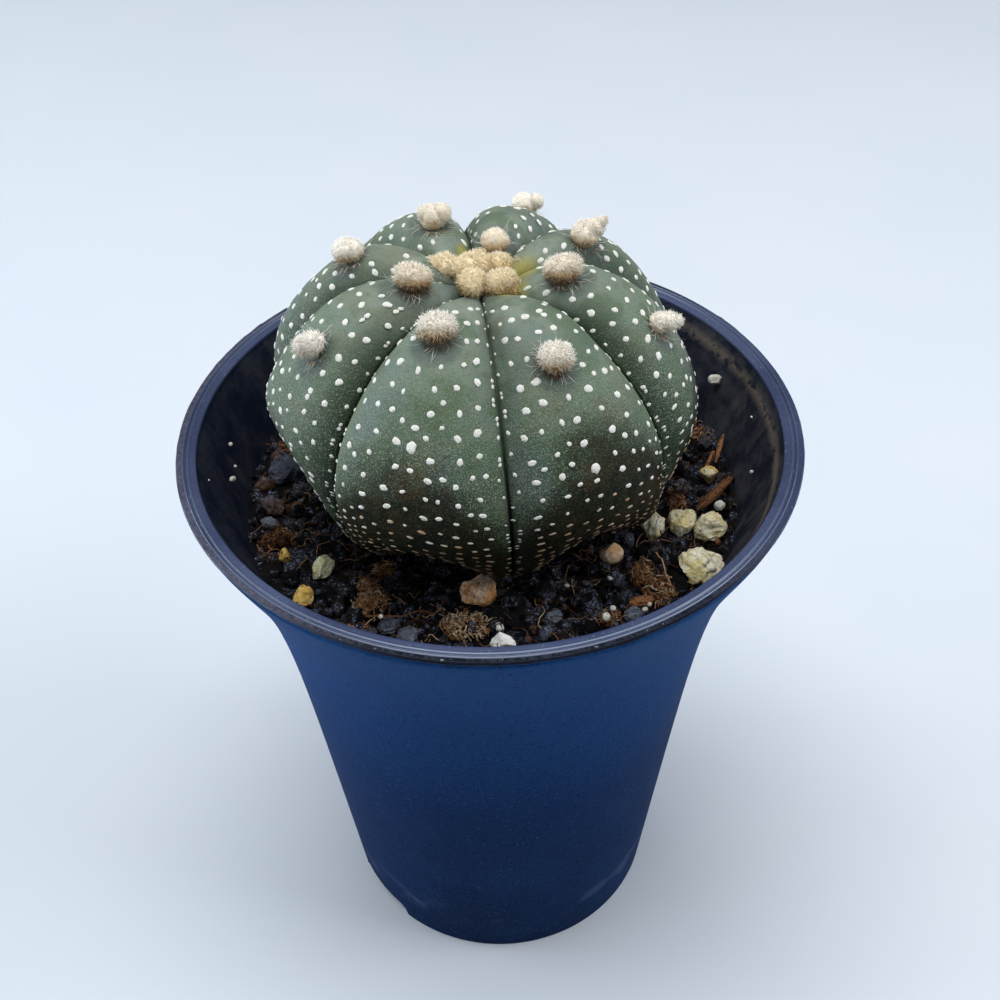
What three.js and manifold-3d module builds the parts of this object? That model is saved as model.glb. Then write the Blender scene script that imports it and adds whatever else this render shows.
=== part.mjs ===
// A potted star cactus: a low eight-ribbed cactus with felt flecks and wool tufts, standing in gritty
// potting soil in a small flared plastic pot. Millimetres, +Z up, origin at the middle of the pot's base.
import * as THREE from 'three';
import { mergeVertices } from 'three/addons/utils/BufferGeometryUtils.js';
import Module from 'manifold-3d';

const wasm = await Module();
wasm.setup();

// The gap that separate pieces keep where they meet.
const GAP = 0.3;
// How far joined or cut faces may move to do without slivers.
const FACE_TOLERANCE = 0.01;

// The pot: a stout tapered wall that flares out to a flat lip.
const POT_HEIGHT = 94;
const RIM_RADIUS = 42;
const BASE_RADIUS = 25.66;
const CONE_TOP_RADIUS = 34.72;
const WALL_TOP = 93.4;
const FLARE = 7.18;
const FLARE_DEPTH = 14.78;
const FLARE_POWER = 1.32;
const BASE_WALL = 2;
const TOP_WALL = 2.75;
// The lip's section, in from the rim and down from the top: outer edge, sloped outer band, ridge,
// fine groove, second ridge and the inner band.
const LIP = [
  [0, 0.5], [0.15, 0.3], [0.8, 0.1], [1, 0], [1.25, 0.25], [1.5, 0.05], [2.1, 0.2], [2.65, 0.5],
];
const FOOT_HEIGHT = 3;
const FOOT_WIDTH = 1.3;
const FLOOR_TOP = 4.4;
const POT_SIDES = 48;
const NOTCH_WIDTH = 12;
const NOTCH_HEIGHT = 2.6;
const NOTCH_CORNER = 2.5;
const NOTCH_ANGLES = [-54.5, 125.5];
const MIDDLE_DRAIN_RADIUS = 3.4;
const DRAIN_RADIUS = 2.6;
const DRAIN_SIDES = 14;
const DRAIN_CIRCLE = 15;
const DRAIN_COUNT = 4;

// The soil, from the pot's floor to a little below the rim.
const SOIL_LEVEL = 82;
const SOIL_SIDES = 40;
const SOIL_RINGS = [13, 16.5, 21, 27];
const SOIL_WAVE = 0.35;
const GRANULES = 84;
const GRANULE_INNER = 20.5;
const GRANULE_SMALLEST = 1.4;
const GRANULE_SPREAD = 1.2;
const GRANULE_SPACING = 1.1;
// The soil dips under the cactus, and a plain round hole in it takes the neck and the root.
const DISH_DEPTH = 2.8;
const DISH_INNER = 15;
const DISH_OUTER = 21;
const HOLE_SIDES = 20;

// The cactus: the profiles of a rib's crest and of a furrow, as radius and height above the soil,
// from the middle of the crown to the neck.
const CACTUS_X = -0.9;
const CREST = [
  [0, 33.8], [4, 35], [9, 36.8], [15, 36.4], [21, 32.7], [26, 26.9],
  [28.8, 20.6], [27.9, 14], [25.2, 7.9], [21.3, 3.5], [16.3, 0.6], [11.3, -2],
];
const FURROW = [
  [0, 33.5], [3, 33.6], [7, 33.9], [12.5, 33.2], [18.5, 30.2], [23.2, 25.2],
  [25.6, 19.4], [25.6, 13.2], [23.9, 7.4], [20.5, 3.2], [15.8, 0.5], [10.9, -2.1],
];
// How full a rib's section is, and how sharply it falls into the furrows.
const RIB_FULLNESS = 2.4;
const RIB_SHARPNESS = 0.75;
// The furrows' directions near the crown and near the soil, in degrees from the front towards +X.
const FURROWS_HIGH = [6, 56, 104, 142, 186, 232, 267, 316];
const FURROWS_LOW = [8, 62, 104, 142, 186, 232, 267, 316];
const DRIFT_START = 0.35;
const DRIFT_END = 0.85;
// The middle of each rib is dented in and up near the soil, more on the ribs at the left.
const DENT_RADIUS = -3.6;
const DENT_HEIGHT = 2.6;
const DENT_START = 0.6;
const DENT_FULL = 0.8;
const DENT_LEFT = 0.35;
const DENT_SCALE = [1, 1, 1, 1, 1, 1.3, 1.75, 1];
const DENT_EARLY = [0, 0, 0, 0, 0, 0.06, 0.12, 0];
// Low at the front right the body is fuller, and at the right it is slimmer halfway down.
const SWELL = 1.9;
const SWELL_ANGLE = 52;
const SWELL_SPREAD = 26;
const SWELL_START = 0.56;
const SWELL_FULL = 0.76;
const SWELL_FADE = 0.8;
const SWELL_END = 0.92;
const WAIST = 1.1;
const WAIST_ANGLE = 95;
const WAIST_SPREAD = 45;
const WAIST_ALONG = 0.5;
const WAIST_LENGTH = 0.18;
// Where a rib's section has its vertices, from furrow (-1) over the crest (0) to the next furrow.
const RIB_STEPS = [-1, -0.9, -0.65, -0.33, 0, 0.33, 0.65, 0.9];
const BODY_RINGS = 21;
const CROWN_EDGE = 0.05;
// The taproot below the neck: radius and height.
const ROOT = [[7.5, -5], [5, -11], [3, -17], [1.6, -22]];
const ROOT_TIP = -24;

// Felt flecks, in rows along each rib.
const FLECK_ROWS = 10;
const FLECK_FIRST = 0.23;
const FLECK_LAST = 0.8;
const FLECK_RADIUS = 0.9;
const FLECK_HEIGHT = 0.5;
const FLECK_ACROSS = [[-0.72, 0.22], [-0.3, 0.64]];
const FLECK_SLANT = 0.035;
const FLECK_STRAY_ACROSS = 0.12;
const FLECK_STRAY_ALONG = 0.012;

// Wool tufts on the areoles: rib, distance along the profile, offset across the rib, radii.
const TUFTS = [
  [7, 0.263, 0, 2.45, 2.2], [0, 0.325, -0.16, 2.2, 2], [1, 0.21, -0.23, 2.3, 2.1],
  [1, 0.391, -0.16, 1.9, 1.8], [2, 0.273, -0.37, 2.3, 2.2], [3, 0.139, -0.21, 1.9, 1.8],
  [3, 0.385, -0.06, 1.9, 2.1], [4, 0.215, 0, 2.3, 2.2], [5, 0.292, 0.25, 2.2, 2],
  [6, 0.179, 0.14, 2.4, 2], [6, 0.373, 0.18, 2.2, 2],
];
const TUFT_PROUD = 0.6;
const TUFT_CLEARING = 4.4;
// Lobes of the wool in the crown: offset from the middle of the crown, radius.
const CROWN_LOBES = [
  [-4.1, 2.8, 2.05], [-0.9, 2.9, 2], [2.6, 2.9, 1.9], [-0.7, -0.9, 2.1], [2.5, -1.4, 2.05],
];
const CROWN_WOOL_HEIGHT = 35;

// Loose stones on the soil: name, radius from the axis, direction, half sizes, turn, colour.
const STONES = [
  ['stone_row_1', 23.9, 67, [1.5, 1.8, 1.8], 10, 0xd9d3a6],
  ['stone_row_2', 27.2, 70.3, [1.85, 1.7, 1.8], 0, 0xe0d79c],
  ['stone_row_3', 31.3, 70.2, [1.85, 1.9, 1.8], -10, 0xd6cd96],
  ['stone_low_right', 32.1, 57, [2.5, 2.2, 1.9], 0, 0xd8cb84],
  ['stone_wedge', 30.8, 90.5, [1.6, 1.5, 1.5], 0, 0xc9b56f],
  ['stone_peach', 21.2, 48, [1.6, 1.4, 1.4], 30, 0xd9b68c],
  ['stone_knobby', 21.2, -5.5, [2.3, 2.1, 2.1], 0, 0xd3bd93],
  ['stone_bean', 27.4, -55.3, [1.2, 2.4, 1.4], -20, 0xdcd9b8],
  ['stone_yellow_left', 32.1, -50, [1.4, 1.5, 1.4], 35, 0xd8b65a],
  ['stone_small_left', 31, -64, [0.9, 1, 0.85], 0, 0xcfb75c],
  ['stone_white_front', 29.7, 1, [1.9, 1.3, 1.4], 0, 0xe4e0da],
  ['stone_back_left', 30.2, -128, [1.7, 1.5, 1.4], 20, 0xd4cb9a],
  ['stone_back', 29, 176, [1.5, 2, 1.4], 60, 0xd9d2b0],
  ['stone_back_right', 30.6, 131, [1.9, 1.5, 1.5], -35, 0xd2c68c],
];
const STONE_SUNK = 0.35;

// A repeatable source of random numbers between 0 and 1.
function randomSource(seed) {
  let state = seed >>> 0;
  return () => {
    state = (Math.imul(state, 1664525) + 1013904223) >>> 0;
    return state / 4294967296;
  };
}

function smooth(from, to, x) {
  return THREE.MathUtils.smoothstep(x, from, to);
}

// 1 in the middle, falling smoothly to 0 at the spread on either side.
function bump(x, middle, spread) {
  return smooth(0, 1, 1 - Math.abs(x - middle) / spread);
}

// A point at a radius and height, in a direction counted from the front towards +X.
function polar(radius, degrees, height) {
  const angle = THREE.MathUtils.degToRad(degrees);
  return new THREE.Vector3(radius * Math.sin(angle), -radius * Math.cos(angle), height);
}

// A closed geometry made into a solid that can be joined and cut.
function solidOf(geometry) {
  const bare = geometry.clone();
  bare.deleteAttribute('normal');
  bare.deleteAttribute('uv');
  const merged = mergeVertices(bare, 1e-4);
  const corners = merged.index.array;
  const triangles = [];
  for (let i = 0; i < corners.length; i += 3) {
    const [a, b, c] = [corners[i], corners[i + 1], corners[i + 2]];
    if (a !== b && b !== c && c !== a) {
      triangles.push(a, b, c);
    }
  }
  return new wasm.Manifold(new wasm.Mesh({
    numProp: 3,
    vertProperties: new Float32Array(merged.attributes.position.array),
    triVerts: new Uint32Array(triangles),
  }));
}

// A solid as a geometry, without the slivers that joining and cutting leave.
function geometryOf(solid) {
  const mesh = solid.simplify(FACE_TOLERANCE).getMesh();
  const geometry = new THREE.BufferGeometry();
  geometry.setAttribute('position', new THREE.BufferAttribute(mesh.vertProperties, 3));
  geometry.setIndex(new THREE.BufferAttribute(mesh.triVerts, 1));
  geometry.computeVertexNormals();
  return geometry;
}

// The largest body of a solid, without the crumbs that cutting leaves.
function largestBody(solid) {
  const bodies = solid.decompose();
  return bodies.reduce((best, body) => (body.volume() > best.volume() ? body : best));
}

// Solids joined pair by pair into one.
function joined(solids) {
  let row = solids;
  while (row.length > 1) {
    const next = [];
    for (let i = 0; i < row.length; i += 2) {
      next.push(i + 1 < row.length ? row[i].add(row[i + 1]) : row[i]);
    }
    row = next;
  }
  return row[0];
}

// A closed skin over rings of points, which run round +Z from the top ring to the bottom one.
function skin(top, rings, bottom) {
  const sides = rings[0].length;
  const points = [top, ...rings.flat(), bottom];
  const last = points.length - 1;
  const triangles = [];
  for (let i = 0; i < sides; i += 1) {
    const j = (i + 1) % sides;
    triangles.push(0, 1 + i, 1 + j);
    for (let k = 0; k + 1 < rings.length; k += 1) {
      const upper = 1 + k * sides;
      const lower = upper + sides;
      triangles.push(upper + i, lower + i, lower + j);
      triangles.push(upper + i, lower + j, upper + j);
    }
    const end = 1 + (rings.length - 1) * sides;
    triangles.push(last, end + j, end + i);
  }
  const geometry = new THREE.BufferGeometry().setFromPoints(points);
  geometry.setIndex(triangles);
  return geometry;
}

// A rough ball with the given half sizes; swell makes it larger all round by that much.
function lump(sizes, detail, roughness, seed, swell = 0) {
  const random = randomSource(seed);
  const ball = new THREE.IcosahedronGeometry(1, detail);
  ball.deleteAttribute('normal');
  ball.deleteAttribute('uv');
  const geometry = mergeVertices(ball, 1e-4);
  const place = geometry.attributes.position;
  for (let i = 0; i < place.count; i += 1) {
    const reach = 1 + roughness * (random() - 0.5);
    const [x, y, z] = [place.getX(i), place.getY(i), place.getZ(i)];
    const [sx, sy, sz] = sizes;
    place.setXYZ(i, x * (sx * reach + swell), y * (sy * reach + swell), z * (sz * reach + swell));
  }
  return geometry;
}

// Pot

function outerRadius(height) {
  const part = height / WALL_TOP;
  const depth = (WALL_TOP - height) / FLARE_DEPTH;
  const cone = BASE_RADIUS + (CONE_TOP_RADIUS - BASE_RADIUS) * part;
  return cone + FLARE * Math.exp(-(depth ** FLARE_POWER));
}

function innerRadius(height) {
  return outerRadius(height) - BASE_WALL - (TOP_WALL - BASE_WALL) * (height / WALL_TOP);
}

// Heights at which the wall's outside and inside have their points.
const OUTER_HEIGHTS = [0, 45, 63, 74, 81, 86.5, 90.5, WALL_TOP];
const INNER_HEIGHTS = [92.8, 90, 86, 80, 70, FLOOR_TOP];

function potProfile() {
  const top = POT_HEIGHT;
  const footInner = BASE_RADIUS - FOOT_WIDTH;
  const profile = [[0, FOOT_HEIGHT], [footInner, FOOT_HEIGHT], [footInner, 0]];
  OUTER_HEIGHTS.forEach((height) => profile.push([outerRadius(height), height]));
  LIP.forEach(([inward, down]) => profile.push([RIM_RADIUS - inward, top - down]));
  INNER_HEIGHTS.forEach((height) => profile.push([innerRadius(height), height]));
  profile.push([0, FLOOR_TOP]);
  return profile.map(([radius, height]) => new THREE.Vector2(radius, height));
}

// An arched notch through the foot ring, standing in the given direction.
function footNotch(degrees) {
  const half = NOTCH_WIDTH / 2;
  const spring = NOTCH_HEIGHT - NOTCH_CORNER / 2;
  const arch = new THREE.Shape();
  arch.moveTo(-half, -NOTCH_HEIGHT);
  arch.lineTo(half, -NOTCH_HEIGHT);
  arch.lineTo(half, spring);
  arch.quadraticCurveTo(half, NOTCH_HEIGHT, half - NOTCH_CORNER, NOTCH_HEIGHT);
  arch.lineTo(NOTCH_CORNER - half, NOTCH_HEIGHT);
  arch.quadraticCurveTo(-half, NOTCH_HEIGHT, -half, spring);
  const depth = BASE_RADIUS / 4;
  const notch = new THREE.ExtrudeGeometry(arch, { depth, bevelEnabled: false, curveSegments: 3 });
  notch.rotateX(Math.PI / 2);
  notch.translate(0, depth - BASE_RADIUS - FOOT_WIDTH, 0);
  notch.rotateZ(THREE.MathUtils.degToRad(degrees));
  return solidOf(notch);
}

function drainHole(radius, degrees, width) {
  const hole = new THREE.CylinderGeometry(width, width, 2 * FLOOR_TOP, DRAIN_SIDES);
  hole.rotateX(Math.PI / 2);
  const place = polar(radius, degrees, FLOOR_TOP);
  hole.translate(place.x, place.y, place.z);
  return solidOf(hole);
}

function makePot() {
  const shell = new THREE.LatheGeometry(potProfile(), POT_SIDES);
  shell.rotateX(Math.PI / 2);
  let pot = solidOf(shell);
  NOTCH_ANGLES.forEach((degrees) => {
    pot = pot.subtract(footNotch(degrees));
  });
  pot = pot.subtract(drainHole(0, 0, MIDDLE_DRAIN_RADIUS));
  for (let i = 0; i < DRAIN_COUNT; i += 1) {
    pot = pot.subtract(drainHole(DRAIN_CIRCLE, (i * 360) / DRAIN_COUNT, DRAIN_RADIUS));
  }
  return pot;
}

// Cactus

const crestCurve = new THREE.SplineCurve(CREST.map(([r, z]) => new THREE.Vector2(r, z)));
const furrowCurve = new THREE.SplineCurve(FURROW.map(([r, z]) => new THREE.Vector2(r, z)));

function furrowAngle(number, along) {
  const turn = 360 * Math.floor(number / 8);
  const drift = smooth(DRIFT_START, DRIFT_END, along);
  const k = number % 8;
  return turn + FURROWS_HIGH[k] + (FURROWS_LOW[k] - FURROWS_HIGH[k]) * drift;
}

// A point of the cactus's skin: along is 0 at the crown and 1 at the neck, across is -1 in one furrow,
// 0 on the rib's crest and 1 in the next furrow.
function bodyPoint(rib, along, across) {
  const crest = crestCurve.getPoint(along);
  const furrow = furrowCurve.getPoint(along);
  const rise = (1 - Math.abs(across) ** RIB_FULLNESS) ** RIB_SHARPNESS;
  const early = DENT_EARLY[rib];
  const fading = 1 - (1 - DENT_LEFT) * smooth(DENT_FULL, 1, along);
  const dented = smooth(DENT_START - early, DENT_FULL - early / 2, along) * fading;
  const dent = DENT_SCALE[rib] * dented * Math.cos((Math.PI * across) / 2) ** 2;
  const from = furrowAngle(rib, along);
  const to = furrowAngle(rib + 1, along);
  const degrees = (from + to) / 2 + (across * (to - from)) / 2;
  const low = smooth(SWELL_START, SWELL_FULL, along) * (1 - smooth(SWELL_FADE, SWELL_END, along));
  const swell = SWELL * bump(degrees, SWELL_ANGLE, SWELL_SPREAD) * low;
  const waist = bump(degrees, WAIST_ANGLE, WAIST_SPREAD) * bump(along, WAIST_ALONG, WAIST_LENGTH);
  const even = furrow.x + (crest.x - furrow.x) * rise + DENT_RADIUS * dent;
  const radius = even + swell - WAIST * waist;
  const height = furrow.y + (crest.y - furrow.y) * rise + DENT_HEIGHT * dent;
  const point = polar(radius, degrees, SOIL_LEVEL + height);
  point.x += CACTUS_X;
  return point;
}

function bodyNormal(rib, along, across) {
  const step = 0.004;
  const down = bodyPoint(rib, along + step, across).sub(bodyPoint(rib, along - step, across));
  const round = bodyPoint(rib, along, across + step).sub(bodyPoint(rib, along, across - step));
  return down.cross(round).normalize();
}

function bodyRing(along) {
  const ring = [];
  for (let rib = 0; rib < 8; rib += 1) {
    RIB_STEPS.forEach((across) => ring.push(bodyPoint(rib, along, across)));
  }
  return ring;
}

function rootRings() {
  const sides = 8 * RIB_STEPS.length;
  return ROOT.map(([radius, height]) => {
    const ring = [];
    for (let i = 0; i < sides; i += 1) {
      const point = polar(radius, FURROWS_LOW[0] + (i * 360) / sides, SOIL_LEVEL + height);
      point.x += CACTUS_X;
      ring.push(point);
    }
    return ring;
  });
}

// The body from the crown down to the tip of the root.
function bodySkin() {
  const rings = [];
  for (let i = 0; i < BODY_RINGS; i += 1) {
    rings.push(bodyRing(CROWN_EDGE + ((1 - CROWN_EDGE) * i) / (BODY_RINGS - 1)));
  }
  const top = new THREE.Vector3(CACTUS_X, 0, SOIL_LEVEL + CREST[0][1]);
  const tip = new THREE.Vector3(CACTUS_X, 0, SOIL_LEVEL + ROOT_TIP);
  return solidOf(skin(top, [...rings, ...rootRings()], tip));
}

// A piece stood on the cactus's skin: its own +Z along the skin's normal.
function onSkin(geometry, rib, along, across, proud) {
  const normal = bodyNormal(rib, along, across);
  const place = bodyPoint(rib, along, across).addScaledVector(normal, proud);
  const turn = new THREE.Quaternion().setFromUnitVectors(new THREE.Vector3(0, 0, 1), normal);
  geometry.applyQuaternion(turn);
  geometry.translate(place.x, place.y, place.z);
  return geometry;
}

function makeTuft(number, swell) {
  const [rib, along, across, width, height] = TUFTS[number];
  const ball = lump([width, width, height], 1, 0.14, 300 + number, swell);
  return solidOf(onSkin(ball, rib, along, across, height * TUFT_PROUD));
}

function makeCrownWool(swell) {
  const lobes = CROWN_LOBES.map(([x, y, radius], number) => {
    const ball = lump([radius, radius, radius], 1, 0.2, 500 + number, swell);
    ball.translate(CACTUS_X + x, y, SOIL_LEVEL + CROWN_WOOL_HEIGHT);
    return solidOf(ball);
  });
  return joined(lobes);
}

// Flecks lean into rows that run down and outwards from each crest; none crowds a tuft.
function makeFlecks() {
  const random = randomSource(71);
  const centres = TUFTS.map(([rib, along, across]) => bodyPoint(rib, along, across));
  const flecks = [];
  for (let rib = 0; rib < 8; rib += 1) {
    for (let row = 0; row < FLECK_ROWS; row += 1) {
      FLECK_ACROSS[row % 2].forEach((side) => {
        const across = side + FLECK_STRAY_ACROSS * (random() - 0.5);
        const even = FLECK_FIRST + ((FLECK_LAST - FLECK_FIRST) * row) / (FLECK_ROWS - 1);
        const stray = FLECK_STRAY_ALONG * (random() - 0.5);
        const along = even + FLECK_SLANT * Math.abs(across) + stray;
        const place = bodyPoint(rib, along, across);
        const clear = centres.every((centre) => centre.distanceTo(place) > TUFT_CLEARING);
        if (clear) {
          const cone = new THREE.ConeGeometry(FLECK_RADIUS, 2 * FLECK_HEIGHT, 4);
          cone.rotateX(Math.PI / 2);
          flecks.push(solidOf(onSkin(cone, rib, along, across, 0)));
        }
      });
    }
  }
  return flecks;
}

function makeCactus() {
  let cactus = joined([bodySkin(), ...makeFlecks()]);
  TUFTS.forEach((_, number) => {
    cactus = cactus.subtract(makeTuft(number, GAP));
  });
  cactus = cactus.subtract(makeCrownWool(GAP));
  return largestBody(cactus);
}

// Soil

function soilHeight(x, y) {
  const waves = SOIL_WAVE * (Math.sin(x / 5.1 + 1) + Math.cos(y / 4.3 - x / 9));
  const under = 1 - smooth(DISH_INNER, DISH_OUTER, Math.hypot(x - CACTUS_X, y));
  return SOIL_LEVEL + waves * (1 - under) - DISH_DEPTH * under;
}

function rootHole() {
  const neck = CREST[CREST.length - 1];
  const sides = [[neck[0], neck[1] + 3], neck, ...ROOT].map(([radius, height]) => (
    new THREE.Vector2(radius / Math.cos(Math.PI / HOLE_SIDES) + GAP, SOIL_LEVEL + height)
  ));
  const tip = new THREE.Vector2(0, SOIL_LEVEL + ROOT_TIP - GAP);
  const mouth = new THREE.Vector2(0, sides[0].y);
  const hole = new THREE.LatheGeometry([tip, ...sides.reverse(), mouth], HOLE_SIDES);
  hole.rotateX(Math.PI / 2);
  hole.translate(CACTUS_X, 0, 0);
  return solidOf(hole);
}

function soilBed() {
  const circle = (radius, height) => {
    const ring = [];
    for (let i = 0; i < SOIL_SIDES; i += 1) {
      const point = polar(radius, (i * 360) / SOIL_SIDES, height);
      if (height === SOIL_LEVEL) {
        point.z = soilHeight(point.x, point.y);
      }
      ring.push(point);
    }
    return ring;
  };
  const edge = innerRadius(SOIL_LEVEL) - GAP;
  const rings = [...SOIL_RINGS, edge].map((radius) => circle(radius, SOIL_LEVEL));
  const foot = FLOOR_TOP + GAP;
  [80, 70, foot].forEach((height) => rings.push(circle(innerRadius(height) - GAP, height)));
  return solidOf(skin(new THREE.Vector3(0, 0, SOIL_LEVEL), rings, new THREE.Vector3(0, 0, foot)));
}

function stonePlace([, radius, degrees, sizes]) {
  const place = polar(radius, degrees, 0);
  place.z = soilHeight(place.x, place.y) + sizes[2] * (1 - 2 * STONE_SUNK) + 0.4;
  return place;
}

// Wet granules, each sunk a little over half into the soil, spaced apart and clear of the stones.
function makeGranules() {
  const random = randomSource(19);
  const placed = STONES.map((stone) => {
    const place = stonePlace(stone);
    return { x: place.x, y: place.y, reach: Math.max(...stone[3]) };
  });
  const granules = [];
  for (let tries = 0; tries < 6000 && granules.length < GRANULES; tries += 1) {
    const size = GRANULE_SMALLEST + GRANULE_SPREAD * random();
    const outer = innerRadius(SOIL_LEVEL) - GAP - size;
    const radius = Math.sqrt(GRANULE_INNER ** 2 + (outer ** 2 - GRANULE_INNER ** 2) * random());
    const place = polar(radius, 360 * random(), 0);
    const free = placed.every((other) => {
      const space = other.reach + (other.granule ? GRANULE_SPACING : GAP);
      return Math.hypot(other.x - place.x, other.y - place.y) > space;
    });
    if (free) {
      placed.push({ x: place.x, y: place.y, reach: 0.75 * size, granule: true });
      const grain = lump([size, 0.85 * size, 0.8 * size], 0, 0.3, 1000 + tries);
      grain.rotateZ(2 * Math.PI * random());
      grain.translate(place.x, place.y, soilHeight(place.x, place.y) - 0.1 * size);
      granules.push(solidOf(grain));
    }
  }
  return granules;
}

function makeStone(stone, number, swell) {
  const [, , , sizes, turn] = stone;
  const rough = lump(sizes, 1, 0.28, 700 + number, swell);
  rough.rotateZ(THREE.MathUtils.degToRad(turn));
  const place = stonePlace(stone);
  rough.translate(place.x, place.y, place.z);
  return solidOf(rough);
}

function makeSoil() {
  let soil = joined([soilBed(), ...makeGranules()]);
  soil = soil.subtract(rootHole());
  STONES.forEach((stone, number) => {
    soil = soil.subtract(makeStone(stone, number, GAP));
  });
  return largestBody(soil);
}

// The whole plant in its pot

const plant = new THREE.Group();

function addPiece(name, solid, color, roughness) {
  const material = new THREE.MeshStandardMaterial({ color, roughness, metalness: 0 });
  const mesh = new THREE.Mesh(geometryOf(solid), material);
  mesh.name = name;
  plant.add(mesh);
}

addPiece('pot', makePot(), 0x1f3350, 0.5);
addPiece('soil', makeSoil(), 0x2b231d, 0.95);
addPiece('cactus', makeCactus(), 0x5d7a58, 0.85);

let crownWool = makeCrownWool(0);
TUFTS.forEach((_, number) => {
  crownWool = crownWool.subtract(makeTuft(number, GAP));
  addPiece(`areole_wool_${number + 1}`, makeTuft(number, 0), 0xe6dcc4, 1);
});
addPiece('crown_wool', largestBody(crownWool), 0xcdb88a, 1);

STONES.forEach((stone, number) => {
  addPiece(stone[0], makeStone(stone, number, 0), stone[5], 0.9);
});

export default plant;
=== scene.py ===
"""A potted star cactus. Lengths are in millimetres until a mesh is made; angles are in degrees from the
front, -Y, towards +X."""

import bmesh
import bpy
import numpy as np
from mathutils import Matrix, Vector


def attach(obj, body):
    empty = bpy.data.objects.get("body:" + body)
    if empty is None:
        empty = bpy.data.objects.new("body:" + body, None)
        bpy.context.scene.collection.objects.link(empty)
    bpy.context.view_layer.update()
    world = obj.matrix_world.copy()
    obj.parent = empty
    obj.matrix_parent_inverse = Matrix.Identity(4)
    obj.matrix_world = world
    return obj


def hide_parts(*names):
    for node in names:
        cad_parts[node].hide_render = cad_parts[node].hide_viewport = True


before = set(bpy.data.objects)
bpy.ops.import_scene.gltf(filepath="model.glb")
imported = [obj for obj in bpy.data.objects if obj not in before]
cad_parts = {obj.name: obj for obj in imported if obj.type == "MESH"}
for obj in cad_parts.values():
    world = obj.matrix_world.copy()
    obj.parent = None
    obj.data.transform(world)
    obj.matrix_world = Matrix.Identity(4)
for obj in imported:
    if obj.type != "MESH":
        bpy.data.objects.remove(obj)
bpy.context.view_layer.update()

MM = 0.001

# The pot, with the sizes of its CAD node: a cone that flares out towards the lip, on a foot ring.
POT_HEIGHT = 94
RIM_RADIUS = 42
BASE_RADIUS = 25.66
CONE_TOP_RADIUS = 34.72
WALL_TOP = 93.4
FLARE, FLARE_DEPTH, FLARE_POWER = 7.18, 14.78, 1.32
BASE_WALL = 2
TOP_WALL = 2.75
FOOT_HEIGHT = 3
FOOT_WIDTH = 1.3
FLOOR_TOP = 4.4
POT_SIDES = 288
OUTSIDE, ON_LIP, INSIDE = 0, 1, 2
# The lip's section, in from the rim and down from the top, from under its edge to the inner wall.
LIP = [[0.3, 0.86], [0.32, 0.7], [0.2, 0.56], [0.02, 0.44], [0.02, 0.34], [0.1, 0.27], [0.24, 0.21],
       [0.4, 0.18], [0.62, 0.15], [0.8, 0.13], [0.9, 0.04], [0.98, 0], [1.08, 0.06], [1.18, 0.17],
       [1.28, 0.2], [1.38, 0.16], [1.46, 0.06], [1.58, 0.01], [1.7, 0.06], [1.8, 0.12], [2.2, 0.12],
       [2.52, 0.15], [2.68, 0.28], [2.75, 0.95]]
# The lip's ridges, where painted highlights lie: how far in, and how far from there they fade out and are
# full.
LIP_RIDGES = [[0.98, 0.13, 0.06], [1.58, 0.2, 0.1]]
NOTCH_WIDTH, NOTCH_HEIGHT, NOTCH_CORNER = 12, 2.6, 2.5
NOTCH_ANGLES = [-54.5, 125.5]
# One drain hole in the middle, and four smaller ones on a circle.
DRAIN_MIDDLE = 3.4
DRAIN_RADIUS = 2.6
DRAIN_CIRCLE = 15

# The soil: its level, waves and gap to the pot, and the dish that it has under the plant.
SOIL_LEVEL = 82
SOIL_WAVE = 0.35
SOIL_GAP = 0.3
DISH_DEPTH, DISH_INNER, DISH_OUTER = 2.8, 15, 21

# The cactus: where its axis is, and the radius and height above the soil's level of a rib's crest and of a
# furrow, from the crown to the neck.
CACTUS_X = -0.9
CREST = [[0, 33.8], [4, 35], [9, 36.8], [15, 36.4], [21, 32.7], [26, 26.9], [28.8, 20.6], [27.9, 14],
         [25.2, 7.9], [21.3, 3.5], [16.3, 0.6], [11.3, -2]]
FURROW = [[0, 33.5], [3, 33.6], [7, 33.9], [12.5, 33.2], [18.5, 30.2], [23.2, 25.2], [25.6, 19.4],
          [25.6, 13.2], [23.9, 7.4], [20.5, 3.2], [15.8, 0.5], [10.9, -2.1]]
RIB_FULLNESS = 2.4
RIB_SHARPNESS = 0.75
# The furrows' angles near the crown and low down, and how each rib is dented at its foot.
FURROWS_HIGH = [6, 56, 104, 142, 186, 232, 267, 316]
FURROWS_LOW = [8, 62, 104, 142, 186, 232, 267, 316]
DENT_RADIUS = -3.6
DENT_HEIGHT = 2.6
DENT_SCALE = np.array([1, 1, 1, 1, 1, 1.3, 1.75, 1])
DENT_EARLY = np.array([0, 0, 0, 0, 0, 0.06, 0.12, 0])
# The body is fuller low at the front right and slimmer at the right: amount, angle, spread, where along.
SWELL, SWELL_ANGLE, SWELL_SPREAD, SWELL_ALONG = 1.9, 52, 26, (0.56, 0.76, 0.8, 0.92)
WAIST, WAIST_ANGLE, WAIST_SPREAD, WAIST_ALONG, WAIST_LENGTH = 1.1, 95, 45, 0.5, 0.18
# The neck and taproot, as radius and height, and the skin's layers on them.
ROOT = [[7.5, -5], [5, -11], [3, -17], [1.6, -22], [0.4, -24]]
ON_ROOT = {"along": 1, "furrow": 5, "cork": 1}
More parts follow.
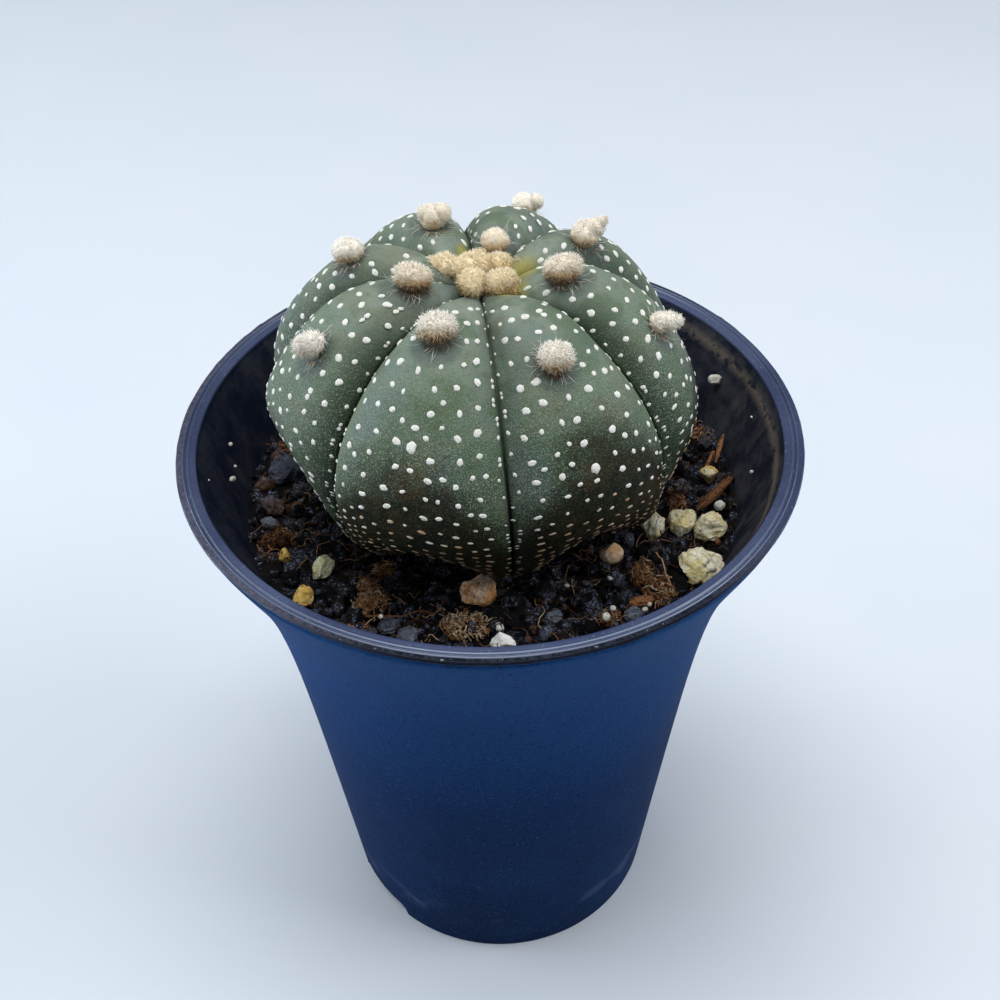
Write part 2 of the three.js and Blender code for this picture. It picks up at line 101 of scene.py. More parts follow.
# The wool tufts: rib, along, across, half width, half height.
TUFTS = [[7, 0.263, 0, 2.45, 2.2], [0, 0.325, -0.16, 2.2, 2], [1, 0.21, -0.23, 2.3, 2.1],
         [1, 0.391, -0.16, 1.9, 1.8], [2, 0.273, -0.37, 2.3, 2.2], [3, 0.139, -0.21, 1.9, 1.8],
         [3, 0.385, -0.06, 1.9, 2.1], [4, 0.215, 0, 2.3, 2.2], [5, 0.292, 0.25, 2.2, 2],
         [6, 0.179, 0.14, 2.4, 2], [6, 0.373, 0.18, 2.2, 2]]
TUFT_PROUD = 0.6
# Where along a crest the skin starts to turn to cork, over what reach, and how much later it does so on
# each rib.
CORK_START, CORK_REACH = 0.365, 0.19
CORK_LATE = np.array([-0.03, 0.05, 0.12, 0.1, 0.12, 0.1, 0.08, -0.01])
# A fleck's rings and middle: their share of its size, and how far they stand off the skin where it has this
# size.
FLECK_RINGS = [[1, -0.02], [0.86, 0.05], [0.46, 0.095]]
FLECK_MIDDLE = 0.11
FLECK_SIZE = 0.47
FLECK_CORNERS = 12
# Yellowish skin beside the crown: x and y from the plant's middle, and size.
YELLOW_SPOTS = [[5.6, 1, 3.2], [4.2, -2.8, 2.6], [-1.4, 5.6, 1.8]]
# The crown's wool: x and y from the plant's middle and radius of each lobe, and their height.
CROWN_LOBES = [[-4.1, 2.8, 2.05], [-0.9, 2.9, 2], [2.6, 2.9, 1.9], [-0.7, -0.9, 2.1], [2.5, -1.4, 2.05]]
CROWN_WOOL_HEIGHT = 35

# The stones: the share of one that is sunk in the soil, and what lifts it.
STONE_SUNK = 0.35
STONE_LIFT = 0.4
STONE_SLOTS = {"tan": "tan_stone", "peach": "tan_stone", "white": "white_grit"}


# Numbers and noise.

def smooth(low, high, x):
    """0 at low and 1 at high, with a smooth way between them; low may be the higher number."""
    part = np.clip((np.asarray(x, float) - low) / (high - low), 0, 1)
    return part * part * (3 - 2 * part)


def hill(x, middle, spread):
    """1 in the middle, falling smoothly to 0 at the spread on either side."""
    return smooth(0, 1, 1 - np.abs(x - middle) / spread)


def polar(radius, degrees, height):
    """Points by their distance from the pot's axis, angle and height."""
    turn = np.radians(degrees)
    return np.stack(np.broadcast_arrays(radius * np.sin(turn), -radius * np.cos(turn), height), -1)


def unit(vectors):
    return vectors / np.maximum(np.linalg.norm(vectors, axis=-1, keepdims=True), 1e-9)


def lattice(cells, seed):
    """A random number, 0 to 1, for each whole-number cell."""
    part = cells.astype(np.int64) * np.array([374761393, 668265263, 1440662683])
    mixed = (part.sum(-1) + seed * 1274126177) & 0xFFFFFFFF
    mixed = ((mixed ^ (mixed >> 13)) * 1103515245) & 0xFFFFFFFF
    return ((mixed ^ (mixed >> 16)) & 0xFFFFFF) / 0xFFFFFF


def noise(points, size, seed=0):
    """Smooth noise, -1 to 1, with bumps about that far apart."""
    place = np.asarray(points, float) / size
    low = np.floor(place)
    part = place - low
    part = part * part * (3 - 2 * part)
    total = 0
    for corner in np.ndindex(2, 2, 2):
        weight = np.prod(np.where(np.array(corner) == 1, part, 1 - part), axis=-1)
        total = total + weight * lattice(low + np.array(corner), seed)
    return 2 * total - 1


def rough(points, size, seed=0, octaves=3):
    """Noise with finer noise on it."""
    return sum(noise(points, size / 2 ** k, seed + 17 * k) / 2 ** k for k in range(octaves))


def spline(knots, t):
    """A smooth curve through the knots, with t from 0 to 1."""
    knots = np.asarray(knots, float)
    last = len(knots) - 1
    place = np.clip(t, 0, 1) * last
    i = np.minimum(place.astype(int), last - 1)
    w = (place - i)[..., None]
    before, here, there = knots[np.maximum(i - 1, 0)], knots[i], knots[i + 1]
    after = knots[np.minimum(i + 2, last)]
    v0, v1 = (there - before) / 2, (after - here) / 2
    cubed, squared = 2 * here - 2 * there + v0 + v1, 3 * there - 3 * here - 2 * v0 - v1
    return cubed * w ** 3 + squared * w ** 2 + v0 * w + here


# Meshes.

def make_piece(name, points, faces, **layers):
    """A mesh object from points in millimetres, with a number for each point in each named layer."""
    points, faces = np.asarray(points, float), np.asarray(faces, int)
    count, sides = faces.shape
    mesh = bpy.data.meshes.new(name)
    mesh.vertices.add(len(points))
    mesh.vertices.foreach_set("co", (points * MM).ravel())
    mesh.loops.add(count * sides)
    mesh.loops.foreach_set("vertex_index", faces.ravel())
    mesh.polygons.add(count)
    mesh.polygons.foreach_set("loop_start", np.arange(0, count * sides, sides))
    mesh.polygons.foreach_set("use_smooth", np.ones(count, bool))
    mesh.update(calc_edges=True)
    for layer, values in layers.items():
        data = mesh.attributes.new(layer, "FLOAT", "POINT").data
        data.foreach_set("value", np.asarray(values, np.float32).ravel())
    piece = bpy.data.objects.new(name, mesh)
    bpy.context.scene.collection.objects.link(piece)
    return piece


def hand_over(piece, material, slot, *nodes):
    """Gives a piece its material and its body, and hides the nodes that it stands in for; slot is not used.
    """
    piece.data.materials.clear()
    piece.data.materials.append(material)
    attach(piece, "root")
    if nodes:
        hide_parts(*nodes)


def triangles(quads):
    return np.concatenate([quads[:, [0, 1, 2]], quads[:, [0, 2, 3]]])


def grid_faces(rows, columns):
    """The quads of a grid whose rows run round, each row joined to the next."""
    i, j = np.meshgrid(np.arange(rows - 1), np.arange(columns), indexing="ij")
    here, beside = i * columns + j, i * columns + (j + 1) % columns
    return np.stack([here, here + columns, beside + columns, beside], -1).reshape(-1, 4)


def make_joined(name, parts, material, slot, *nodes):
    """One piece of many parts, each with its points, its triangles and its shade or shades."""
    points, faces, shades, start = [], [], [], 0
    for some_points, some_faces, some_shades in parts:
        points.append(some_points)
        faces.append(some_faces + start)
        shades.append(np.broadcast_to(some_shades, len(some_points)))
        start += len(some_points)
    piece = make_piece(name, np.concatenate(points), np.concatenate(faces), shade=np.concatenate(shades))
    hand_over(piece, material, slot, *nodes)


BALLS = {}


def ball(level):
    """Points and triangles of a unit ball."""
    if level not in BALLS:
        form = bmesh.new()
        bmesh.ops.create_icosphere(form, subdivisions=level, radius=1)
        BALLS[level] = (np.array([v.co[:] for v in form.verts]),
                        np.array([[v.index for v in face.verts] for face in form.faces]))
        form.free()
    return BALLS[level]


def rock(level, sizes, seed, cuts=8, cut_from=0.66, grit=0.08, bump=0.5):
    """A stone: a ball with flats cut off it and a rough skin."""
    points, faces = ball(level)
    random = np.random.default_rng(seed)
    for _ in range(cuts):
        way = unit(random.normal(size=3))
        over = np.maximum(points @ way - random.uniform(cut_from, 0.92), 0)
        points = points - over[:, None] * way * 0.94
    points = points * (1 + grit * rough(points + 10, bump, seed))[:, None]
    return points * np.asarray(sizes), faces


def turned(points, seed=None, degrees=None):
    """The points turned about Z, or any way where no angle is given."""
    if degrees is None:
        turn, _ = np.linalg.qr(np.random.default_rng(seed).normal(size=(3, 3)))
        turn = turn * np.sign(np.linalg.det(turn))
    else:
        turn = np.array(Matrix.Rotation(np.radians(degrees), 3, "Z"))
    return points @ turn.T


def strands(paths, widths, shades):
    """Three-sided tapering threads: paths is (count, steps, 3); widths and shades are (count, steps)."""
    count, steps, _ = paths.shape
    ways = unit(np.gradient(paths, axis=1))
    across = unit(np.cross(ways, np.array([0.31, 0.52, 0.79])))
    other = np.cross(ways, across)
    turns = np.radians([0, 120, 240])
    ring = np.cos(turns)[:, None] * across[:, :, None] + np.sin(turns)[:, None] * other[:, :, None]
    points = (paths[:, :, None] + widths[:, :, None, None] * ring)[:, :-1].reshape(count, -1, 3)
    points = np.concatenate([points, paths[:, -1:]], axis=1)
    one = []
    for step in range(steps - 2):
        for side in range(3):
            a, b = 3 * step + side, 3 * step + (side + 1) % 3
            one += [[a, b, b + 3], [a, b + 3, a + 3]]
    last = 3 * (steps - 2)
    one += [[last + side, last + (side + 1) % 3, 3 * (steps - 1)] for side in range(3)]
    each = 3 * (steps - 1) + 1
    faces = (np.array(one)[None] + each * np.arange(count)[:, None, None]).reshape(-1, 3)
    values = np.concatenate([np.repeat(shades[:, :-1], 3, axis=1), shades[:, -1:]], axis=1)
    return points.reshape(-1, 3), faces, values.ravel()


def hairs(roots, ways, lengths, width, curl, shades, seed):
    """Short hairs that bend a little, each from its root."""
    random = np.random.default_rng(seed)
    part = np.linspace(0, 1, 3)
    bend = unit(np.cross(ways, random.normal(size=ways.shape))) * random.uniform(0, curl, (len(roots), 1))
    paths = roots[:, None] + lengths[:, None, None] * (
        ways[:, None] * part[None, :, None] + bend[:, None] * (part ** 2)[None, :, None])
    widths = np.tile(width * (1 - 0.5 * part), (len(roots), 1))
    tones = np.clip(shades[:, None] + 0.1 * (part - 0.4), 0, 1)
    return strands(paths, widths, tones)


# Looks.

def tone(red, green, blue):
    """A colour as the shader takes it, from the values 0 to 255 that a screen shows."""
    part = np.array([red, green, blue]) / 255
    linear = np.where(part <= 0.04045, part / 12.92, ((part + 0.055) / 1.055) ** 2.4)
    return (*[float(value) for value in linear], 1)


class Look:
    """A material's node tree, with a short call for each kind of node that the looks below need. A colour is
    given by the three values, 0 to 255, that a screen shows."""

    def __init__(self, name, **sockets):
        self.material = bpy.data.materials.new(name)
        self.material.use_nodes = True
        self.nodes = self.material.node_tree.nodes
        self.links = self.material.node_tree.links
        self.shader = self.nodes["Principled BSDF"]
        for socket, value in sockets.items():
            self.shader.inputs[socket.replace("_", " ")].default_value = value
        self.place = self.nodes.new("ShaderNodeTexCoord").outputs["Object"]
        self.colour = None

    def give(self, socket, value):
        """Joins another node's output to a socket, or gives the socket a number or a colour."""
        if isinstance(value, bpy.types.NodeSocket):
            self.links.new(value, socket)
        else:
            socket.default_value = tone(*value) if isinstance(value, tuple) else value

    def noise(self, size, detail=3.0, roughness=0.6, stretch=None):
        """Noise with bumps of about that many millimetres."""
        node = self.nodes.new("ShaderNodeTexNoise")
        node.inputs["Scale"].default_value = 1000 / size
        node.inputs["Detail"].default_value = detail
        node.inputs["Roughness"].default_value = roughness
        self.links.new(self.stretched(stretch) if stretch else self.place, node.inputs["Vector"])
        return node.outputs["Fac"]

    def cells(self, size):
        node = self.nodes.new("ShaderNodeTexVoronoi")
        node.inputs["Scale"].default_value = 1000 / size
        self.links.new(self.place, node.inputs["Vector"])
        return node.outputs["Distance"]

    def stretched(self, stretch):
        node = self.nodes.new("ShaderNodeMapping")
        node.inputs["Scale"].default_value = stretch
        self.links.new(self.place, node.inputs["Vector"])
        return node.outputs["Vector"]

    def layer(self, name):
        node = self.nodes.new("ShaderNodeAttribute")
        node.attribute_name = name
        return node.outputs["Fac"]

    def axis(self, name):
        node = self.nodes.new("ShaderNodeSeparateXYZ")
        self.links.new(self.place, node.inputs["Vector"])
        return node.outputs[name]

    def math(self, kind, first, second):
        node = self.nodes.new("ShaderNodeMath")
        node.operation = kind
        self.give(node.inputs[0], first)
        self.give(node.inputs[1], second)
        return node.outputs["Value"]

    def plus(self, first, second):
        return self.math("ADD", first, second)

    def less(self, first, second):
        return self.math("SUBTRACT", first, second)

    def most(self, first, second):
        return self.math("MAXIMUM", first, second)

    def times(self, *factors):
        total = factors[0]
        for factor in factors[1:]:
            total = self.math("MULTIPLY", total, factor)
        return total

    def rise(self, value, low, high):
        """0 at low and 1 at high, with a smooth way between them; low may be the higher number."""
        node = self.nodes.new("ShaderNodeMapRange")
        node.interpolation_type = "SMOOTHSTEP"
        turned_round = low > high
        self.give(node.inputs["Value"], value)
        node.inputs["From Min"].default_value = min(low, high)
        node.inputs["From Max"].default_value = max(low, high)
        node.inputs["To Min"].default_value = 1 if turned_round else 0
        node.inputs["To Max"].default_value = 0 if turned_round else 1
        return node.outputs["Result"]

    def blend(self, amount, first, second):
        node = self.nodes.new("ShaderNodeMix")
        node.data_type = "RGBA"
        self.give(node.inputs[0], amount)
        self.give(node.inputs[6], first)
        self.give(node.inputs[7], second)
        return node.outputs[2]

    def ramp(self, value, stops):
        node = self.nodes.new("ShaderNodeValToRGB")
        while len(node.color_ramp.elements) < len(stops):
            node.color_ramp.elements.new(0.5)
        for element, (place, colour) in zip(node.color_ramp.elements, stops):
            element.position = place
            element.color = tone(*colour)
        self.give(node.inputs["Fac"], value)
        return node.outputs["Color"]

    def paint(self, colour, *factors):
        """Lays a colour over the colour so far, by the product of the factors."""
        self.colour = self.blend(self.times(*factors), self.colour, colour)

    def done(self, height, depth, strength, **sockets):
        """Joins the colour, a bump that is that many millimetres deep and other values to the shader."""
        for socket, value in {"Base_Color": self.colour, **sockets}.items():
            self.give(self.shader.inputs[socket.replace("_", " ")], value)
        bump = self.nodes.new("ShaderNodeBump")
        bump.inputs["Distance"].default_value = depth * MM
        bump.inputs["Strength"].default_value = strength
        self.links.new(height, bump.inputs["Height"])
        self.links.new(bump.outputs["Normal"], self.shader.inputs["Normal"])
        return self.material


def skin_look():
    """Grey-green skin with a fine speckle and brown cork low down; painted shade and highlight at the
    furrows.
    """
    look = Look("cactus skin", Roughness=0.55)
    along, furrow, lip = look.layer("along"), look.layer("furrow"), look.layer("lip")
    patches, mottle, speckle = look.noise(6, 3, 0.55), look.noise(1.5, 4, 0.6), look.noise(0.17, 3, 0.65)
    look.colour = look.ramp(along, [(0.2, (118, 130, 116)), (0.34, (100, 116, 98)), (0.45, (72, 92, 68)),
                                    (0.58, (46, 62, 40))])
    look.paint((82, 98, 98), look.rise(look.noise(9, 2, 0.5, (1, 1, 0.6)), 0.5, 0.64), 0.5)
    look.paint((104, 104, 80), look.rise(patches, 0.52, 0.64), 0.4)
    look.paint((58, 80, 46), look.rise(patches, 0.47, 0.36), 0.55)
    # The near side of each furrow: painted paler as a painted highlight on the rib's edge, and smoother, with
    # fewer specks.
    strip = look.times(look.rise(furrow, 3.4, 1.2), lip, look.rise(along, 0.68, 0.45))
    look.paint((112, 124, 92), strip, 0.5)
    # Painted shade: deep green on the far side of each furrow, where the rib dips away into shadow.
    far_side_shade = look.times(look.layer("far_side_shade"), look.rise(furrow, 6.5, 1.2), look.rise(along, 0.16, 0.34))
    look.paint((29, 50, 27), far_side_shade, 0.88)
    # Painted shadow: slate grey on the skin under each tuft and round the foot of the crown's wool.
    slate = look.most(look.rise(look.layer("stain_and_shade"), 0.2, 0.9), look.rise(along, 0.15, 0.06))
    look.paint((60, 72, 74), slate, 0.5)
    look.paint((46, 62, 46), look.rise(mottle, 0.48, 0.72), 0.3)
    look.paint((150, 142, 52), look.layer("yellow"))
    brown = paint_cork(look, mottle, patches)
    paint_speckle(look, speckle, strip, brown)
    # A pale thin line on the near edge of each furrow: partly pale cork, partly a painted highlight.
    edge = look.times(look.rise(furrow, 0.16, 0.24), look.rise(furrow, 0.46, 0.32), lip)
    look.paint((196, 198, 176), edge, look.rise(mottle, 0.46, 0.62), 0.8)
    # Painted shade in the furrows: darker beside each one, and a dark line along it that grows deeper lower
    # down.
    look.paint((24, 40, 25), look.rise(furrow, 1.5, 0.2), 0.36)
    deeper = look.plus(0.15, look.times(look.rise(along, 0.3, 0.56), 0.8))
    look.paint((10, 16, 10), look.rise(furrow, 0.2, 0.05), deeper)
    height = look.plus(look.times(speckle, 0.6), look.times(mottle, 0.6))
    return look.done(height, 0.2, 0.8, Specular_IOR_Level=look.less(0.35, look.times(brown, 0.29)))


def paint_cork(look, mottle, patches):
    """Brown cork with a ragged edge; what comes back says how much of it there is."""
    ragged = look.times(look.less(mottle, 0.5), 0.6)
    brown = look.rise(look.plus(look.layer("cork"), ragged), 0.1, 0.95)
    skin = look.colour
    look.colour = look.blend(look.rise(mottle, 0.35, 0.65), (15, 13, 9), (40, 36, 22))
    look.paint((52, 36, 22), look.rise(patches, 0.5, 0.62), 0.6)
    look.colour = look.blend(look.times(brown, 0.93), skin, look.colour)
    return brown


def paint_speckle(look, speckle, strip, brown):
    """Fine pale dots and dark pits, few near the crown and beside the furrows."""
    much = look.plus(0.22, look.times(look.rise(look.layer("along"), 0.26, 0.52), 0.78))
    much = look.times(much, look.less(1.0, look.times(strip, 0.75)))
    look.paint((170, 178, 160), look.rise(speckle, 0.54, 0.66), much, look.rise(brown, 1.3, 0.3), 0.62)
    look.paint((18, 28, 20), look.rise(speckle, 0.48, 0.36), much, 0.7)


def fleck_look():
    """White felt that turns tan near the neck."""
    look = Look("fleck felt", Roughness=0.9, Specular_IOR_Level=0.2, Sheen_Weight=0.25)
    fuzz = look.noise(0.16, 3, 0.7)
    look.colour = look.ramp(look.layer("shade"), [
        (0, (124, 88, 54)), (0.35, (190, 154, 114)), (0.7, (214, 212, 202)), (1, (232, 232, 227))])
    look.paint((150, 148, 134), look.rise(fuzz, 0.54, 0.34), 0.45)
    return look.done(fuzz, 0.16, 0.9)


def wool_look(name, stops):
    """Wool whose shade runs from its dark foot to its pale top."""
    look = Look(name, Roughness=0.85, Specular_IOR_Level=0.25, Sheen_Weight=0.2)
    streak = look.noise(0.5, 3, 0.7)
    look.colour = look.ramp(look.layer("shade"), stops)
    look.paint((168, 138, 98), look.rise(streak, 0.48, 0.3), 0.3)
    return look.done(look.noise(0.12, 2), 0.08, 0.6)


def soil_look():
    """Wet black grit and peat with brown crumbs, and painted bluish glints of light on the wet patches."""
    look = Look("soil")
    fine = look.noise(0.5, 4, 0.75)
    look.colour = look.ramp(look.layer("shade"), [
        (0, (6, 6, 8)), (0.4, (14, 15, 20)), (0.55, (28, 22, 18)), (0.72, (76, 54, 40)), (0.82, (96, 76, 58)),
        (0.9, (54, 60, 74)), (1, (116, 122, 132))])
    look.paint((52, 48, 47), look.rise(fine, 0.54, 0.74), 0.25)
    look.paint((5, 5, 7), look.rise(fine, 0.46, 0.32), 0.8)
    wet = look.rise(look.noise(2.4), 0.48, 0.6)
    # Painted highlights: fine bluish glints on the wet patches.
    look.paint((128, 144, 188), look.rise(look.noise(0.3, 2, 0.6), 0.56, 0.64), wet, 0.8)
    height = look.plus(fine, look.times(look.noise(0.22, 2, 0.6), 0.5))
    return look.done(height, 0.5, 0.9, Roughness=look.less(0.8, look.times(wet, 0.6)),
                     Specular_IOR_Level=look.plus(0.12, look.times(wet, 0.6)))


def fibre_look():
    """Coir, bark and thin roots, from dark brown to straw."""
    look = Look("fibre", Roughness=0.75, Specular_IOR_Level=0.12)
    grain = look.noise(0.4, 4, 0.75)
    look.colour = look.ramp(look.layer("shade"), [
        (0, (22, 16, 13)), (0.3, (84, 56, 40)), (0.55, (150, 104, 68)), (0.78, (194, 150, 106)),
        (1, (224, 206, 178))])
    look.paint((24, 15, 11), look.rise(grain, 0.55, 0.35), 0.75)
    return look.done(grain, 0.3, 0.9)


# Stone by kind: its material's name; its light, main and dark colour and that of its stain; how much stain
# there is, and the size of its pores.
STONE_TONES = {
    "pumice": ["pumice", (244, 240, 218), (226, 212, 156), (132, 112, 62), (186, 176, 96), 0.5, 0.7],
    "yellow": ["yellow pumice", (226, 192, 110), (198, 156, 66), (104, 74, 34), (222, 206, 150), 0.5, 0.9],
    "wedge": ["wedge", (214, 204, 168), (206, 168, 84), (124, 98, 60), (192, 192, 180), 0.5, 0.8],
    "bean": ["pale stone", (234, 234, 212), (216, 216, 176), (116, 110, 78), (170, 176, 100), 0.6, 0.8],
    "tan": ["tan stone", (252, 220, 190), (224, 164, 104), (40, 26, 16), (184, 110, 42), 0.8, 0.8],
    "peach": ["peach pebble", (232, 210, 180), (216, 174, 122), (160, 118, 78), (214, 214, 204), 0.5, 0.9],
    "white": ["white grit", (255, 255, 254), (250, 250, 248), (206, 204, 200), (226, 224, 218), 0.2, 0.5],
    "perlite": ["perlite", (226, 226, 218), (206, 206, 196), (160, 158, 144), (190, 186, 160), 0.3, 0.4]}


def stone_look(kind):
    """Rough stone with pores painted dark as shade in them, a darker vein here and there, and stained
    patches.
    """
    name, light, body, dark, stain_and_shade, stain_amount, pores = STONE_TONES[kind]
    look = Look(name, Roughness=0.85, Specular_IOR_Level=0.3)
    broad, fine = look.noise(2.6, 3, 0.55), look.noise(0.45, 4, 0.7)
    look.colour = look.blend(look.rise(broad, 0.38, 0.62), body, light)
    look.paint(dark, look.rise(fine, 0.56, 0.34), 0.55)
    look.paint(stain_and_shade, look.rise(look.noise(1.7, 4, 0.65), 0.54, 0.66), stain_amount)
    # Painted shade: the pores are darkened, for the shade inside them.
    holes = look.rise(look.cells(pores), 0.24, 0.1)
    look.paint(dark, holes, look.rise(broad, 0.4, 0.6), 0.7)
    return look.done(look.less(fine, look.times(holes, 0.6)), 0.3, 0.9)


def pot_look():
    """Dark blue plastic: fine-grained outside, half-glossy at the lip, dusty inside."""
    look = Look("pot plastic")
    grain, cloud, coarse = look.noise(0.42, 2, 0.65), look.noise(16, 3, 0.5), look.noise(0.55, 4, 0.75)
    paint_outside(look, grain, cloud)
    paint_inside(look)
    paint_lip(look, cloud, coarse)
    lip = look.layer("lip")
    rough_edge = look.most(look.layer("crust"), look.layer("under"))
    dull = look.most(look.times(look.layer("inside"), 0.8), look.times(rough_edge, 0.75))
    roughness = look.most(look.plus(look.times(look.less(1.0, lip), 0.32), 0.26), dull)
    gloss = look.plus(0.02, look.times(lip, look.less(1.0, look.times(rough_edge, 0.85)), 0.45))
    bumps = look.times(grain, look.less(1.0, look.times(lip, 0.9)))
    bumps = look.plus(bumps, look.times(coarse, rough_edge, 2.4))
    return look.done(bumps, 0.14, 0.8, Roughness=roughness, Specular_IOR_Level=gloss)


def paint_outside(look, grain, cloud):
    """Blue, paler at the top and darker low down as painted shade; moulded grain; a faint lime mark above the
    foot.
    """
    height = look.axis("Z")
    # Painted shade: the blue grows darker from the top down, under the flared lip.
    look.colour = look.ramp(look.rise(height, 0, POT_HEIGHT * MM), [
        (0, (11, 33, 66)), (0.45, (13, 40, 79)), (0.8, (21, 57, 105)), (1, (28, 66, 114))])
    look.paint((20, 52, 96), look.rise(cloud, 0.4, 0.7), 0.3)
    look.paint((2, 14, 40), look.rise(grain, 0.44, 0.26), 0.75)
    look.paint((52, 92, 146), look.rise(grain, 0.58, 0.74), 0.45)
    band = look.times(look.rise(height, 6.5 * MM, 8.5 * MM), look.rise(height, 13.5 * MM, 11 * MM))
    look.paint((70, 82, 112), band, look.rise(look.noise(7, 2, 0.4, (1, 1, 1.6)), 0.5, 0.62), 0.4)


def paint_inside(look):
    """Dust, specks and streaks on the inner wall, painted shade on its left, and a band of scum at its right.
    """
    outside = look.colour
    dust = look.noise(4.5, 4, 0.65)
    look.colour = look.blend(look.rise(dust, 0.35, 0.7), (27, 31, 44), (58, 60, 67))
    specks = look.rise(look.noise(0.7, 3, 0.7), 0.66, 0.76)
    look.paint((92, 84, 74), specks, look.rise(dust, 0.4, 0.6), 0.5)
    look.paint((84, 82, 84), look.rise(look.noise(3, 4, 0.6, (1, 1, 0.25)), 0.5, 0.68), 0.35)
    # Painted shade: the inner wall is darker on the left.
    look.paint((14, 24, 46), look.layer("left"), 0.45)
    look.colour = look.blend(look.layer("inside"), outside, look.colour)
    look.paint((120, 112, 102), look.layer("scum"), look.rise(look.noise(2.2, 4, 0.7), 0.4, 0.52), 0.7)


def paint_lip(look, cloud, coarse):
    """The lip: slate blue, painted highlights on its ridges, a rough crust on its shoulder, painted shadow
    under it.
    """
    below = look.colour
    crust = look.layer("crust")
    look.colour = look.blend(look.rise(cloud, 0.35, 0.65), (42, 52, 82), (60, 70, 100))
    look.paint((122, 132, 156), look.rise(look.noise(0.5, 3, 0.6, (1, 1, 4)), 0.6, 0.7), 0.35)
    look.colour = look.blend(look.layer("lip"), below, look.colour)
    # Painted highlights along the lip's ridges, mostly at the front.
    look.paint((116, 130, 152), look.layer("ridge_highlight"), 0.7)
    dark = look.blend(look.rise(coarse, 0.42, 0.6), (14, 17, 25), (40, 46, 60))
    grey = look.blend(look.rise(coarse, 0.4, 0.58), (38, 38, 46), (86, 80, 84))
    look.paint(look.blend(look.layer("left"), dark, grey), crust)
    look.paint((158, 162, 172), look.rise(look.noise(0.6, 2, 0.5), 0.7, 0.76), crust, 0.8)
    # Painted shadow: a near-black line under the lip's edge.
    look.paint((7, 9, 16), look.layer("under"), look.rise(coarse, 0.72, 0.6), 0.95)


def floor_look():
    """A pale, slightly cool sheet."""
    look = Look("floor", Roughness=0.75, Specular_IOR_Level=0.2)
    look.colour = look.blend(look.noise(60, 3, 0.5), (198, 206, 216), (206, 212, 220))
    return look.done(look.noise(0.6), 0.02, 0.3)


# The pot.

def outer_radius(height):
    height = np.minimum(height, WALL_TOP)
    cone = BASE_RADIUS + (CONE_TOP_RADIUS - BASE_RADIUS) * (height / WALL_TOP)
    return cone + FLARE * np.exp(-((WALL_TOP - height) / FLARE_DEPTH) ** FLARE_POWER)


def inner_radius(height):
    return outer_radius(height) - BASE_WALL - (TOP_WALL - BASE_WALL) * height / WALL_TOP


def pot_profile():
    """(radius, height, part) down the foot, up the outside, over the lip and down the inside."""
    foot_inner = BASE_RADIUS - FOOT_WIDTH
    outside = [[foot_inner, height, OUTSIDE] for height in (FOOT_HEIGHT, 2.4, 1.8, 1.2, 0.6, 0.25)]
    outside += [[foot_inner + 0.15, 0, OUTSIDE], [BASE_RADIUS - 0.35, 0, OUTSIDE]]
    low, middle, high = [0.25, 0.6, 1.2, 1.8, 2.4, 3.2, 4.5], np.linspace(7, 70, 15), np.linspace(72, 93, 20)
    outside += [[outer_radius(height), height, OUTSIDE] for height in (*low, *middle, *high)]
    knots = [[RIM_RADIUS - inward, POT_HEIGHT - down] for inward, down in LIP]
    lip = [[radius, height, ON_LIP] for radius, height in spline(knots, np.linspace(0, 1, 64))]
    high, low = np.linspace(92.7, 72, 18), np.linspace(68, FLOOR_TOP, 8)
    inside = [[inner_radius(height), height, INSIDE] for height in (*high, *low)]
    floor = [[radius, FLOOR_TOP, INSIDE] for radius in (20, 15, 10, 4)]
    return np.array(outside + lip + inside + floor)


def notch_height(points):
    """How high the foot is cut away above each point."""
    height = np.zeros(len(points))
    degrees = np.degrees(np.arctan2(points[:, 0], -points[:, 1]))
    radius = np.hypot(points[:, 0], points[:, 1])
    for middle in NOTCH_ANGLES:
        aside = (degrees - middle + 180) % 360 - 180
        off = np.where(np.abs(aside) < 60, np.abs(radius * np.sin(np.radians(aside))), 99)
        corner = np.clip((NOTCH_WIDTH / 2 - off) / NOTCH_CORNER, 0, 1)
        arch = np.where(off < NOTCH_WIDTH / 2, 0.5 + 0.5 * (1 - (1 - corner) ** 2), 0)
        height = np.maximum(height, NOTCH_HEIGHT * arch)
    return height


def make_pot():
    profile = pot_profile()
    radius, height, part = (np.repeat(column, POT_SIDES) for column in profile.T)
    degrees = np.tile(np.arange(POT_SIDES) * 360 / POT_SIDES, len(profile))
    level, inward = POT_HEIGHT - height, RIM_RADIUS - radius
    points = polar(radius, degrees, height)
    under_edge = (part == ON_LIP) & (level > 0.28) & (inward < 0.5)
    ragged = 0.5 * rough(points, 1.3, 5) + 0.4 * rough(points, 4, 6)
    points[:, 2] += np.where(under_edge, 0.2 * ragged - 0.04, 0)
    cut = np.where(height < FOOT_HEIGHT, notch_height(points), 0)
    raised = cut + height * (FOOT_HEIGHT - cut) / FOOT_HEIGHT
    points[:, 2] = np.where(height < FOOT_HEIGHT, raised, points[:, 2])
    wobble = 0.1 * noise(polar(20, degrees, 0 * degrees), 22, 8) * smooth(30, 90, height)
    points[:, :2] *= (1 + wobble / np.maximum(radius, 1))[:, None]
    layers = pot_layers(degrees, level, inward, part)
    layers = {name: [*values, 0, name == "inside"] for name, values in layers.items()}
    points = np.concatenate([points, [[0, 0, FOOT_HEIGHT], [0, 0, FLOOR_TOP]]])
    pot = make_piece("pot_body", points, pot_faces(len(profile)), **layers)
    drill_pot(pot)
    hand_over(pot, pot_look(), "pot_plastic", "pot")


